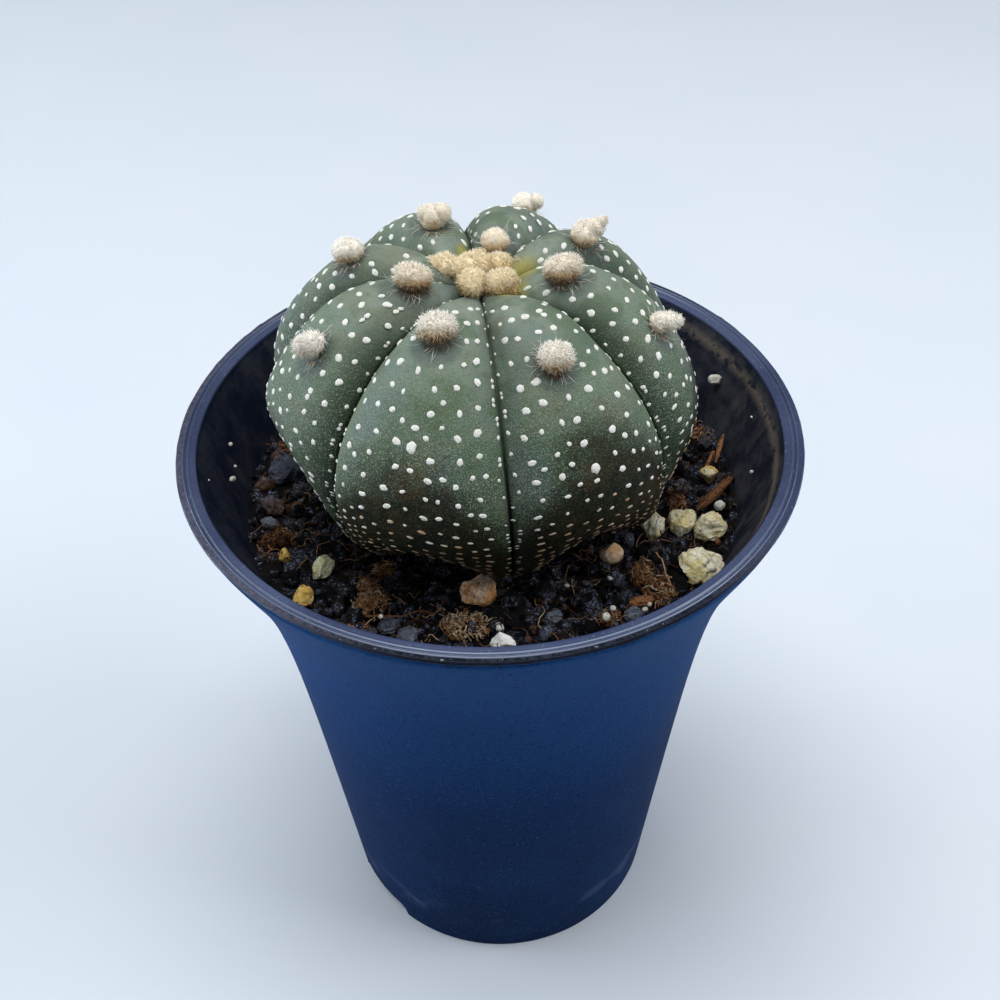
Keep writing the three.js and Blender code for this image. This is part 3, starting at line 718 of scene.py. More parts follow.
def pot_faces(rows):
    """The profile's rings, closed by a point in the middle of the base and one in the middle of the floor."""
    first = np.arange(POT_SIDES)
    last = (rows - 1) * POT_SIDES + first
    middle = np.full(POT_SIDES, rows * POT_SIDES)
    base = np.stack([np.roll(first, -1), first, middle], -1)
    floor = np.stack([last, np.roll(last, -1), middle + 1], -1)
    return np.concatenate([triangles(grid_faces(rows, POT_SIDES)), base, floor])[:, ::-1]


def pot_layers(degrees, level, inward, part):
    """Where the lip, the painted highlight on its ridges, its crust, the painted shadow under its edge, the
    dust
    and the scum lie: level is how far a point is below the top, and inward how far in from the rim. The sides
    have less of the crust."""
    around = (degrees + 180) % 360 - 180
    # The left side, where the crust is greyer and the inner wall has painted shade.
    left = smooth(-12, -55, around) * smooth(-150, -110, around)
    right = smooth(30, 70, around) * smooth(150, 118, around)
    # The sides, where the painted highlight on the ridges and the painted shadow under the lip's edge fade
    # out.
    plain = np.maximum(0.85 * left, 0.85 * right)
    on_lip, on_wall = part == ON_LIP, part == INSIDE
    shoulder = on_lip * smooth(0.36, 0.28, level) * (inward < 0.9)
    under = shoulder * smooth(0.42, 0.28, inward) * (1 - plain)
    crust = shoulder * smooth(0.88, 0.8, inward) * (1 - under) * (1 - 0.45 * left - 0.85 * right)
    ridges = [smooth(none, full, np.abs(inward - middle)) for middle, none, full in LIP_RIDGES]
    inside = np.clip(on_wall + on_lip * smooth(2.66, 2.74, inward), 0, 1)
    return {"under": under, "crust": crust, "inside": inside, "left": left,
            "lip": on_lip * (1 - inside) * np.maximum(inward > 0.9, shoulder),
            "scum": on_wall * smooth(2.1, 2.25, level) * smooth(2.9, 2.6, level) * right,
            "ridge_highlight": on_lip * np.maximum(*ridges) * (1 - plain)}


def drill_pot(pot):
    """The drain holes in the pot's floor."""
    form = bmesh.new()
    places = [(0, 0, DRAIN_MIDDLE)]
    places += [(*polar(DRAIN_CIRCLE, degrees, 0)[:2], DRAIN_RADIUS) for degrees in (45, 135, 225, 315)]
    for x, y, radius in places:
        where = Matrix.Translation(Vector((x, y, (FOOT_HEIGHT + FLOOR_TOP) / 2)) * MM)
        bmesh.ops.create_cone(form, cap_ends=True, segments=40, radius1=radius * MM, radius2=radius * MM,
                              depth=4 * MM, matrix=where)
    mesh = bpy.data.meshes.new("drill")
    form.to_mesh(mesh)
    form.free()
    drill = bpy.data.objects.new("drill", mesh)
    bpy.context.scene.collection.objects.link(drill)
    cut = pot.modifiers.new("drain", "BOOLEAN")
    cut.operation = "DIFFERENCE"
    cut.object = drill
    bpy.context.view_layer.update()
    cut_mesh = bpy.data.meshes.new_from_object(pot.evaluated_get(bpy.context.evaluated_depsgraph_get()))
    pot.modifiers.clear()
    pot.data = cut_mesh
    bpy.data.objects.remove(drill)


# The cactus.

def furrow_angle(number, along):
    """A furrow's angle: it runs from its place near the crown to its place lower down."""
    high, low = np.array(FURROWS_HIGH), np.array(FURROWS_LOW)
    k = number % 8
    return 360 * (number // 8) + high[k] + (low[k] - high[k]) * smooth(0.35, 0.85, along)


def body_point(rib, along, across):
    """A point of the skin: along runs from 0 at the crown to 1 at the neck, and across from -1 at one furrow
    to 1 at the next."""
    rib, along, across = np.broadcast_arrays(rib, along, across)
    crest, furrow = spline(CREST, along), spline(FURROW, along)
    rise = (1 - np.minimum(np.abs(across), 1) ** RIB_FULLNESS) ** RIB_SHARPNESS
    early = DENT_EARLY[rib % 8]
    dented = smooth(0.6 - early, 0.8 - early / 2, along) * (1 - 0.65 * smooth(0.8, 1, along))
    dent = DENT_SCALE[rib % 8] * dented * np.cos(np.pi * across / 2) ** 2
    low, high = furrow_angle(rib, along), furrow_angle(rib + 1, along)
    degrees = (low + high) / 2 + across * (high - low) / 2
    start, full, fade, end = SWELL_ALONG
    swell = hill(degrees, SWELL_ANGLE, SWELL_SPREAD) * smooth(start, full, along) * smooth(end, fade, along)
    waist = hill(degrees, WAIST_ANGLE, WAIST_SPREAD) * hill(along, WAIST_ALONG, WAIST_LENGTH)
    radius = furrow[..., 0] + (crest[..., 0] - furrow[..., 0]) * rise + DENT_RADIUS * dent
    height = furrow[..., 1] + (crest[..., 1] - furrow[..., 1]) * rise + DENT_HEIGHT * dent
    return polar(radius + SWELL * swell - WAIST * waist, degrees, SOIL_LEVEL + height) + [CACTUS_X, 0, 0]


def body_ways(rib, along, across):
    """The skin's direction down its rib and across it, in millimetres for each whole step, and its normal."""
    step = 0.004
    down = (body_point(rib, along + step, across) - body_point(rib, along - step, across)) / (2 * step)
    over = (body_point(rib, along, across + step) - body_point(rib, along, across - step)) / (2 * step)
    return down, over, unit(np.cross(down, over))


def tuft_frames():
    """Each tuft's centre on the skin, its normal, the way down the rib, its half width and half height."""
    frames = []
    for rib, along, across, wide, high in TUFTS:
        down, _, normal = body_ways(rib, along, across)
        frames.append((body_point(rib, along, across), normal, unit(down), wide, high))
    return frames


def corky(rib, along, across, points):
    """How far the skin has turned to brown cork: from the neck up, and highest on the crests in front."""
    start = CORK_START + CORK_LATE[rib % 8] + 0.17 * np.abs(across) ** 2 + 0.025 * rough(points, 5, 41)
    return smooth(start, start + CORK_REACH, along)


def skin_swell(points):
    """How far the skin swells out in its broad and small waves."""
    return 0.22 * rough(points, 9, 3) + 0.05 * rough(points, 2.5, 4)


def skin_relief(points, along, furrow):
    """How far the skin lies off its even form: waves, corky lumps low down, and a crease in each furrow."""
    swell = skin_swell(points) + smooth(0.72, 0.95, along) * 0.18 * rough(points, 1.6, 9)
    crease = smooth(0.36, 0.03, furrow) * (0.1 + 0.25 * smooth(0.25, 0.6, along)) * smooth(1, 0.9, along)
    return swell * smooth(0, 1.6, furrow) - crease


def skin_layers(rib, along, across, furrow, points):
    """What the skin's look needs at each point, with painted shade and highlight on the furrows' far and near
    sides.
    """
    turn = np.degrees(np.arctan2(points[..., 0] - CACTUS_X, -points[..., 1])) + 4
    facing = smooth(0, 0.3, -np.sign(turn) * across)
    far_side_shade = facing * smooth(6, 36, np.abs(turn)) * smooth(160, 120, np.abs(turn))
    lip = (1 - facing) * smooth(14, 42, np.abs(turn))
    stain_and_shade, yellow = np.zeros(along.shape), np.zeros(along.shape)
    # Painted shadow: a patch on the skin a little below each tuft.
    for centre, _, down, wide, _ in tuft_frames():
        far = np.linalg.norm(points - (centre + down * 0.9), axis=-1)
        stain_and_shade = np.maximum(stain_and_shade, smooth(wide + 1.9, wide - 0.2, far))
    for x, y, size in YELLOW_SPOTS:
        far = np.hypot(points[..., 0] - CACTUS_X - x, points[..., 1] - y)
        yellow = np.maximum(yellow, 0.75 * smooth(size, size * 0.3, far))
    return {"along": along, "furrow": furrow, "stain_and_shade": stain_and_shade, "yellow": yellow,
            "cork": corky(rib, along, across, points), "far_side_shade": far_side_shade, "lip": lip}


def make_skin():
    columns = np.sin(np.linspace(-1, 1, 49)[:-1] * np.pi / 2)
    rings = np.linspace(0.006, 1, 150)
    along, rib = np.meshgrid(rings, np.repeat(np.arange(8), len(columns)), indexing="ij")
    across = np.broadcast_to(np.tile(columns, 8), along.shape)
    points = body_point(rib, along, across)
    _, _, normal = body_ways(rib, along, np.clip(across, -0.97, 0.97))
    span = np.linalg.norm(np.roll(points, -1, axis=1) - points, axis=-1).reshape(len(rings), 8, -1)
    before = np.cumsum(span, axis=-1) - span
    furrow = np.minimum(before, span.sum(-1, keepdims=True) - before).reshape(along.shape)
    points = points + normal * skin_relief(points, along, furrow)[..., None]
    sides = along.shape[1]
    root = [polar(radius, np.arange(sides) * 360 / sides, SOIL_LEVEL + height) + [CACTUS_X, 0, 0]
            for radius, height in ROOT]
    top = [[CACTUS_X, 0, SOIL_LEVEL + CREST[0][1]]]
    every = np.concatenate([points.reshape(-1, 3), *root, top])
    first, tip = np.arange(sides), np.full(sides, len(every) - 1)
    crown = np.stack([tip, first, np.roll(first, -1)], -1)
    faces = np.concatenate([triangles(grid_faces(len(rings) + len(ROOT), sides)), crown])

    def whole(name, values):
        """A layer with its values on the root and at the top."""
        return np.concatenate([values.ravel(), np.full(sides * len(ROOT), ON_ROOT.get(name, 0)), [0]])

    layers = skin_layers(rib, along, across, furrow, points)
    skin = make_piece("cactus_body", every, faces, **{name: whole(name, layers[name]) for name in layers})
    hand_over(skin, skin_look(), "cactus_skin", "cactus")


def fleck_places():
    """Flecks stand in files down each rib, looser above and closer below, and leave room for the tufts. Each
    has its rib, along, across, size, how low it is, and a number of its own."""
    random = np.random.default_rng(12)
    frames = tuft_frames()
    # The two old areoles low on the ribs in front.
    places = [(7, 0.433, 0, 0.68, 0, 0.5), (0, 0.487, -0.13, 0.6, 0, 0.5)]
    taken = [body_point(rib, along, across) for rib, along, across, *_ in places]

    def clear(place, least):
        open_skin = min(np.linalg.norm(place - centre) - wide for centre, _, _, wide, _ in frames) > 0.35
        return open_skin and np.linalg.norm(np.array(taken) - place, axis=1).min() > least

    def put(rib, along, across, size, low):
        places.append((rib, along, across, size, low, random.random()))
        taken.append(body_point(rib, along, across))

    def file_of_flecks(rib, file):
        edge, middle = abs(file) > 0.9, abs(file) < 0.3
        along = random.uniform(0.1, 0.13) if edge else random.uniform(0.15, 0.19) + 0.03 * middle
        while along < 0.975:
            low = float(smooth(0.4, 0.66, along))
            across = file + random.normal() * (0.018 if edge else 0.032 - 0.016 * low)
            across = np.clip(across, -0.97, 0.97)
            down, over, _ = body_ways(rib, along, across)
            gap = (2.8 - 1.5 * low) * random.uniform(0.88, 1.12) * (0.85 if edge else 1)
            narrow = np.linalg.norm(over) * 0.24 < 1.25
            crowded = narrow and random.random() < (0.85 if middle else 0.45)
            if clear(body_point(rib, along, across), 0.9) and not crowded:
                size = random.uniform(0.33, 0.49) * (0.68 if edge else 1) * (1 - 0.22 * low)
                put(rib, along, across, size, low)
                if random.random() < (0.3 if edge else 0.05):
                    put(rib, along + 2.1 * size / np.linalg.norm(down), across, size * 0.9, low)
            along += gap / np.linalg.norm(down)

    def short_file(rib, file):
        """Fills the rib's widest part between two files."""
        along = random.uniform(0.34, 0.38) if abs(file) < 0.5 else random.uniform(0.44, 0.48)
        while along < 0.95:
            low = float(smooth(0.4, 0.66, along))
            across = file + random.normal() * 0.025
            down, _, _ = body_ways(rib, along, across)
            room = clear(body_point(rib, along, across), 1.5 - 0.4 * low)
            if room and random.random() < 0.6 + 0.4 * low:
                put(rib, along, across, random.uniform(0.28, 0.42) * (1 - 0.22 * low), low)
            along += (2.8 - 1.5 * low) * random.uniform(0.88, 1.12) / np.linalg.norm(down)

    for rib in range(8):
        for file in (-0.94, -0.74, -0.48, -0.17, 0.17, 0.48, 0.74, 0.94):
            file_of_flecks(rib, file)
        for file in (-0.32, 0.32, 0.0, -0.62, 0.62):
            short_file(rib, file)
    return np.array(places)


def fleck_points(places, random):
    """Jagged rings about the middle of each fleck, on the skin; low ones are wider, flatter and skewed."""
    rib, along, across, size, low, own = places.T[..., None]
    rib = rib.astype(int)
    down, over, normal = body_ways(rib, along, across)
    down_step, over_step = (1 / np.linalg.norm(way, axis=-1) for way in (down, over))
    turn = np.arange(FLECK_CORNERS) * 2 * np.pi / FLECK_CORNERS
    spike = 1 + 0.075 * random.normal(size=(len(places), FLECK_CORNERS)) + 0.1 * np.cos(2 * turn + 6 * own)
    wide = size * (1 + 0.25 * low + 0.12 * random.normal(size=size.shape))
    points = []
    for reach, lift in FLECK_RINGS:
        jag = reach * (spike if reach > 0.8 else 1 + (spike - 1) * 0.5)
        side = wide * jag * np.cos(turn)
        drop = size * (1 - 0.5 * low) * jag * np.sin(turn)
        skew = 0.25 * low * side * np.sign(across)
        ring_along = along + (drop + skew) * down_step
        ring_across = np.clip(across + side * over_step, -0.995, 0.995)
        _, _, outward = body_ways(rib, ring_along, np.clip(ring_across, -0.97, 0.97))
        bump = lift * (1 + 0.2 * random.normal(size=side.shape)) * size / FLECK_SIZE + 0.015 * (reach < 1)
        points.append(body_point(rib, ring_along, ring_across) + outward * bump[..., None])
    points.append(body_point(rib, along, across) + normal * (FLECK_MIDDLE * size / FLECK_SIZE)[..., None])
    points = np.concatenate(points, axis=1)
    return points + normal * np.maximum(skin_swell(points), -0.05)[..., None]


def fleck_faces(count):
    tip = len(FLECK_RINGS) * FLECK_CORNERS
    inner = tip - FLECK_CORNERS + np.arange(FLECK_CORNERS)
    middle = np.stack([inner, np.full(FLECK_CORNERS, tip), np.roll(inner, -1)], -1)
    one = np.concatenate([triangles(grid_faces(len(FLECK_RINGS), FLECK_CORNERS)), middle])[:, ::-1]
    return (one[None] + (tip + 1) * np.arange(count)[:, None, None]).reshape(-1, 3)


def make_flecks():
    places = fleck_places()
    random = np.random.default_rng(4)
    points = fleck_points(places, random)
    count, corners, _ = points.shape
    rib, along, across = places[:, 0].astype(int), places[:, 1], places[:, 2]
    low_down = smooth(0.5, 0.64, along + 0.03 * random.normal(size=count))
    cork = corky(rib, along - 0.05, across, points[:, -1]) * low_down
    tan = np.clip(1 - cork * random.uniform(0.75, 1.1, count), 0.08, 1)
    shade = np.repeat(tan * random.uniform(0.86, 1, count), corners)
    flecks = make_piece("felt_flecks", points.reshape(-1, 3), fleck_faces(count), shade=shade)
    hand_over(flecks, fleck_look(), "fleck_felt")


# Wool: for each tuft, the shade of its top and foot, its hairs' length, the way that they are combed, and its
# lobes, each as x, y, z from the tuft's middle and a radius.
TUFT_FORMS = [
    [0.97, 0.1, 0.8, (0, 0, 0.1), [(0, 0, 0, 2), (0.7, 0, 0.2, 1.7), (-0.7, 0, 0, 1.7)]],
    [0.94, 0.22, 0.8, (0, 0, 0.1), [(-0.2, 0, 0.1, 1.9), (0.6, 0, 0, 1.6), (-0.2, -0.3, -0.7, 1.2)]],
    [0.86, 0.12, 0.6, (0, 0, 0.2), [(0, 0, 0, 2), (-0.9, 0, 0.1, 1.6), (0.9, 0, 0.5, 1.6)]],
    [0.97, 0.6, 0.5, (0.8, 0, -0.2), [(-0.6, 0, 0, 1.5), (0.5, 0, 0.1, 1.4), (1.5, 0.3, -0.1, 1)]],
    [0.9, 0.42, 0.4, (0.6, 0, 0.6), [(-0.3, 0, -0.1, 1.95), (0.9, 0, 0.7, 1.4), (1.8, 0.1, 1.5, 0.8),
                                     (2.2, 0.1, 2, 0.4)]],
    [0.82, 0.4, 0.4, (0, 0, 0.3), [(0, 0, 0, 1.7), (-0.5, 0, 0.1, 1.4), (0.5, 0, -0.1, 1.4)]],
    [0.95, 0.6, 0.35, (0, 0, 0.3), [(-0.5, 0, 0, 1.75), (1.2, 0, 0.4, 1.2), (0.3, 0, -0.3, 1.3)]],
    [0.88, 0.5, 0.4, (0, 0, 0.2), [(-0.2, 0, -0.1, 1.8), (0.9, 0, 0.5, 1.4), (-1.1, 0, 0.5, 1.2)]],
    [0.99, 0.34, 0.5, (0, 0, 0.2), [(-0.35, 0, 0.1, 1.75), (0.45, 0, 0.1, 1.65), (0, 0, -0.7, 1.1)]],
    [0.84, 0.08, 0.65, (0, 0, 0.3), [(0, 0, 0, 2), (-0.7, 0, 0.4, 1.7), (0.8, 0, -0.1, 1.7)]],
    [1, 0.6, 0.8, (-1, 0, -0.15), [(0.2, 0, 0.1, 1.75), (-0.7, 0, -0.2, 1.5), (0.9, 0, 0.5, 1.2)]]]


def spread_ways(count, seed):
    """Directions spread evenly over a ball, a little disordered."""
    k = np.arange(count) + 0.5
    height = 1 - 2 * k / count
    turn = k * np.pi * (1 + 5 ** 0.5)
    around = np.sqrt(1 - height ** 2)
    ways = np.stack([around * np.cos(turn), around * np.sin(turn), height], -1)
    return unit(ways + np.random.default_rng(seed).normal(size=ways.shape) * 0.05)


def woolly(centres, sizes, comb, length, shade_of, keep, count, seed):
    """Lobes of wool: soft cores, painted darker as shade among hairs that stand out of them all over."""
    random = np.random.default_rng(seed)
    parts = []
    for number, (centre, size) in enumerate(zip(centres, sizes)):
        points, faces = ball(4 if len(centres) < 12 and number == 0 else 3)
        core = size - 0.55 * length
        bump = 1 + 0.1 * rough(points * 2 + number, 0.9, seed + number)
        place = points * core * bump[:, None] + centre
        parts.append((place, faces, np.clip(shade_of(place) - 0.08, 0, 1)))
        ways = spread_ways(int(count * size * size), seed + 7 * number)
        roots = ways * core * 0.94 + centre
        free = keep(roots)
        for other, other_size in zip(np.delete(centres, number, 0), np.delete(sizes, number)):
            free &= np.linalg.norm(roots - other, axis=-1) > (other_size - 0.55 * length) * 0.96
        roots, ways = roots[free], ways[free]
        if len(roots):
            combed = unit(ways + np.asarray(comb) + random.normal(size=ways.shape) * 0.3)
            shades = np.clip(shade_of(roots) + random.normal(size=len(ways)) * 0.1, 0, 1)
            lengths = length * random.uniform(0.6, 1.2, len(ways))
            parts.append(hairs(roots, combed, lengths, 0.052, 0.8, shades, seed + 11 * number))
    return parts


def make_tuft(number, place, look):
    centre, normal, _, wide, high = place
    top, foot, length, comb, lobes = TUFT_FORMS[number]
    middle = centre + normal * high * TUFT_PROUD
    lobes = np.array(lobes)

    # Darker towards the bottom and the side towards the camera: partly the wool's own brown foot, partly
    # painted shade.
    def shade_of(points):
        rise = (points - middle) @ np.array([0, 0.4, 0.92]) / wide - 0.12 * (foot < 0.15)
        near = (points - centre) @ normal / high
        return foot + (top - foot) * smooth(-0.85, 0.15, rise) * (0.5 + 0.5 * smooth(-0.1, 0.5, near))

    def keep(roots):
        return (roots - centre) @ normal > -0.2

    parts = woolly(middle + lobes[:, :3], lobes[:, 3], comb, length, shade_of, keep, 230, 40 + 31 * number)
    parts.append(bristles(centre, normal, wide, foot, number))
    make_joined(f"wool_tuft_{number + 1}", parts, look, "areole_felt", f"areole_wool_{number + 1}")


def bristles(centre, normal, wide, foot, number):
    """Hairs on the skin round a tuft: a short dark fringe below it and long pale ones that curl away."""
    random = np.random.default_rng(80 + number)
    dark = 120 if foot < 0.3 else 40
    count = dark + 26
    fall = unit(np.array([0, -0.55, -0.85]))
    fall = unit(fall - normal * (fall @ normal))
    aside = np.cross(normal, fall)
    pale = np.arange(count) >= dark
    turn = np.where(pale, random.uniform(-np.pi, np.pi, count), np.radians(random.normal(size=count) * 42))
    out = np.cos(turn)[:, None] * fall + np.sin(turn)[:, None] * aside
    roots = centre + out * wide * 0.8 + normal * 0.12
    ways = unit(out + normal * (0.05 + 0.1 * random.normal(size=(count, 1))))
    shades = np.where(pale, random.uniform(0.75, 1, count), foot * 0.4 + random.uniform(0, 0.12, count))
    lengths = np.where(pale, random.uniform(1, 2.6, count), random.uniform(0.35, 0.9, count))
    return hairs(roots, ways, lengths, 0.022, 1.2, np.clip(shades, 0, 1), 90 + number)


WOOL_STOPS = [(0, (36, 26, 19)), (0.2, (108, 78, 48)), (0.42, (182, 151, 110)),
              (0.66, (214, 197, 168)), (0.86, (233, 225, 210)), (1, (243, 239, 232))]
CROWN_STOPS = [(0, (80, 58, 32)), (0.3, (172, 136, 80)), (0.62, (222, 198, 145)),
               (1, (241, 228, 198))]


def make_tufts():
    look = wool_look("areole wool", WOOL_STOPS)
    for number, place in enumerate(tuft_frames()):
        make_tuft(number, place, look)


def make_crown():
    """The crown's wool: a large lobe with small ones about it at each place."""
    base = SOIL_LEVEL + CROWN_WOOL_HEIGHT
    random = np.random.default_rng(110)
    centres, sizes = [], []
    for x, y, radius in CROWN_LOBES:
        for small in range(6):
            aside = random.normal(size=3) * [0.95, 0.7, 0.35] if small else 0
            centres.append(np.array([CACTUS_X + x, y, base]) + aside)
            sizes.append(radius * (random.uniform(0.5, 0.82) if small else 0.98))

    # Darker towards the bottom: partly the wool's own brown base, partly painted shade; the left lobes are a
    # paler tint.
    def shade_of(points):
        paler = 0.7 * smooth(-1, -4, points[:, 0] - CACTUS_X)
        return 0.12 + 0.86 * smooth(-1.7, 1.5, points[:, 2] - base + paler + 0.55 * rough(points, 1.6, 61))

    def keep(roots):
        return roots[:, 2] > base - 1.4

    parts = woolly(np.array(centres), np.array(sizes), (0, 0, 0.35), 0.75, shade_of, keep, 260, 600)
    make_joined("crown_lobes", parts, wool_look("crown wool", CROWN_STOPS), "crown_felt", "crown_wool")


# Soil and stones.

def soil_height(x, y):
    waves = SOIL_WAVE * (np.sin(x / 5.1 + 1) + np.cos(y / 4.3 - x / 9))
    under = 1 - smooth(DISH_INNER, DISH_OUTER, np.hypot(x - CACTUS_X, y))
    return SOIL_LEVEL + waves * (1 - under) - DISH_DEPTH * under


# Name, distance from the axis, angle, half sizes, turn, stone kind.
STONES = [["row_1", 23.9, 67, [1.5, 1.8, 1.8], 10, "pumice"],
          ["row_2", 27.2, 70.3, [1.85, 1.7, 1.8], 0, "pumice"],
          ["row_3", 31.3, 70.2, [1.85, 1.9, 1.8], -10, "pumice"],
          ["low_right", 32.1, 57, [2.5, 2.2, 1.9], 0, "pumice"],
          ["wedge", 30.8, 90.5, [1.6, 1.5, 1.5], 0, "wedge"],
          ["peach", 21.2, 48, [1.6, 1.4, 1.4], 30, "peach"],
          ["knobby", 21.2, -5.5, [2.3, 2.1, 2.1], 0, "tan"],
          ["bean", 27.4, -55.3, [1.2, 2.4, 1.4], -20, "bean"],
          ["yellow_left", 32.1, -50, [1.4, 1.5, 1.4], 35, "yellow"],
          ["small_left", 31, -64, [0.9, 1, 0.85], 0, "yellow"],
          ["white_front", 29.7, 1, [1.9, 1.3, 1.4], 0, "white"],
          ["back_left", 30.2, -128, [1.7, 1.5, 1.4], 20, "pumice"],
          ["back", 29, 176, [1.5, 2, 1.4], 60, "pumice"],
          ["back_right", 30.6, 131, [1.9, 1.5, 1.5], -35, "pumice"]]


def on_soil(radius, degrees, above):
    """A place so far above the soil, by its distance from the pot's axis and its angle."""
    place = polar(radius, degrees, 0.0)
    place[2] = soil_height(place[0], place[1]) + above
    return place


def stone_form(number, kind, sizes, level):
    """A stone's points and triangles: a smooth pebble, or a rough stone, knobby, pitted or tapering."""
    cuts, grit = (2, 0.03) if kind == "peach" else (11, 0.11)
    scale = 1.2 if kind == "pumice" else 1.06
    points, faces = rock(level, np.array(sizes) * scale, 200 + number, cuts, 0.6, grit, 0.55)
    if kind == "tan":
        points = points * (1 + 0.2 * noise(points, 1.5, 77))[:, None]
    if kind in ("pumice", "yellow"):
        pits = smooth(0.25, 0.6, noise(points, 0.5, 300 + number))
        points = points * (1 + 0.13 * noise(points, 1.7, 78 + number) - 0.08 * pits)[:, None]
    if kind == "white":
        points = points * narrowing(points, points[:, 2], 1.3, 0.12) * [1.22, 1, 1.1]
    if kind == "wedge":
        points = points * narrowing(points, -points[:, 1] - 0.6 * points[:, 2], 1.3, 0.15) * [1, 1.35, 1.1]
    return points, faces


def make_stones():
    looks = {kind: stone_look(kind) for kind in sorted({stone[-1] for stone in STONES})}
    for number, (name, radius, degrees, sizes, turn, kind) in enumerate(STONES):
        level = 4 if name.startswith("back") or max(sizes) < 1.6 else 5
        points, faces = stone_form(number, kind, sizes, level)
        place = on_soil(radius, degrees, sizes[2] * (1 - 2 * STONE_SUNK) + STONE_LIFT)
        stone = make_piece("rough_stone_" + name, turned(points, degrees=turn) + place, faces)
        hand_over(stone, looks[kind], STONE_SLOTS.get(kind, "pumice"), "stone_" + name)


def narrowing(points, along, wide, thin):
    """Scales that make a stone taper to one end: along is each point's place on that way."""
    scale = wide + (thin - wide) * np.clip(0.55 + 0.5 * along / np.abs(along).max(), 0, 1)
    return np.stack([scale, np.sqrt(scale), np.ones(len(points))], -1)


def ground_relief(points):
    """How far the bare ground lies above or below its even level."""
    broad = 0.55 * rough(points, 3.4, 21, 2)
    crumbs = 0.42 * np.abs(rough(points, 1.1, 22, 3))
    return broad + crumbs - 0.5


def make_ground(look):
    """The soil's body: a rough top, and sides and a base just inside the pot."""
    sides = 300
    radii = np.concatenate([[0.5, 5, 10], np.linspace(13, inner_radius(SOIL_LEVEL) + 0.25, 96)])
    radius, degrees = np.meshgrid(radii, np.arange(sides) * 360 / sides, indexing="ij")
    top = polar(radius, degrees, 0.0)
    top[..., 2] = soil_height(top[..., 0], top[..., 1])
    top[..., 2] += ground_relief(top) * smooth(12, 16, radius)
    bottom = FLOOR_TOP + SOIL_GAP
    below = [polar(inner_radius(height) - SOIL_GAP, degrees[0], height) for height in (78, 60, 30, bottom)]
    rows = np.concatenate([top, np.stack([*below, polar(0.5, degrees[0], bottom)])])
    points = rows.reshape(-1, 3)
    shade = np.clip(0.34 + 0.3 * rough(points, 2.2, 31), 0.02, 0.72)
    ground = make_piece("soil_bed", points, triangles(grid_faces(len(rows), sides)), shade=shade)
    hand_over(ground, look, "soil", "soil")


# Larger grains that the soil shows: distance from the axis, angle, half sizes, shade.
LARGE_GRAINS = [[29.9, -98, [2.6, 2.3, 1.9], 0.92], [26.8, -91, [1.3, 1.2, 1], 0.88],
                [27.3, -83, [1.1, 1, 0.8], 0.78], [30.7, -85, [1.8, 1.5, 1.3], 0.86],
                [31.2, -78, [1.8, 1.2, 1], 0.97], [31.4, -58, [1.2, 1.9, 1.4], 0.34],
                [30.2, -51, [1.2, 1.1, 1], 0.42], [28, -47, [1.8, 1.2, 1], 0.45],
                [29.6, -43.5, [1.8, 1.2, 1.1], 0.5], [30.3, -37, [1.6, 1.6, 1.6], 0.06],
                [28.8, -28, [1.5, 1.2, 1.1], 0.93], [29.6, -22, [1.6, 1.3, 1.2], 0.95],
                [31.2, -31, [1.2, 1, 0.9], 0.88], [22.9, 6, [2, 1.7, 1.5], 0.1],
                [22.3, 16, [1.7, 1.6, 1.5], 0.3], [24.8, 1, [1.6, 1.4, 1.2], 0.2],
                [26.8, 16, [1.4, 1.2, 1], 0.95], [28.7, 13, [1.2, 1, 0.9], 0.9],
                [26, 27, [2.3, 2, 1.7], 0.05], [27.8, 33, [1.3, 1.3, 1.2], 0.36],
                [30.5, 36, [1.5, 1.2, 1], 0.97], [24.6, 40, [1.4, 1.2, 1.1], 0.9],
                [31.2, 50, [1.5, 1.4, 1.2], 0.3], [32, 43, [1, 1, 0.9], 0.4],
                [27, 88, [1.2, 1.2, 1.1], 0.86], [32, 104, [1.4, 1.2, 1.1], 0.88],
                [27.8, 57, [1.8, 1.6, 1.3], 0.1]]
# The shades of the scattered grains and crumbs, and the share of each.
GRAIN_SHADES, GRAIN_SHARES = [0.04, 0.1, 0.2, 0.34, 0.5, 0.72, 0.9], [0.3, 0.26, 0.18, 0.1, 0.08, 0.04, 0.04]
CRUMB_SHADES, CRUMB_SHARES = [0.08, 0.3, 0.55, 0.7, 0.8, 0.97], [0.3, 0.2, 0.16, 0.14, 0.13, 0.07]


def scattered(count, inner, outer, seed, keep_off=0.0):
    """Places on the soil, clear of the stones by that much."""
    random = np.random.default_rng(seed)
    radius = np.sqrt(random.uniform(inner ** 2, outer ** 2, count))
    places = polar(radius, random.uniform(-180, 180, count), 0.0)
    if keep_off:
        middles = np.array([polar(stone[1], stone[2], 0.0) for stone in STONES])
        reach = np.array([max(stone[3][:2]) for stone in STONES])
        far = np.linalg.norm(places[:, None] - middles, axis=-1) - reach
        places = places[far.min(axis=1) > keep_off]
    places[:, 2] = soil_height(places[:, 0], places[:, 1])
    return places


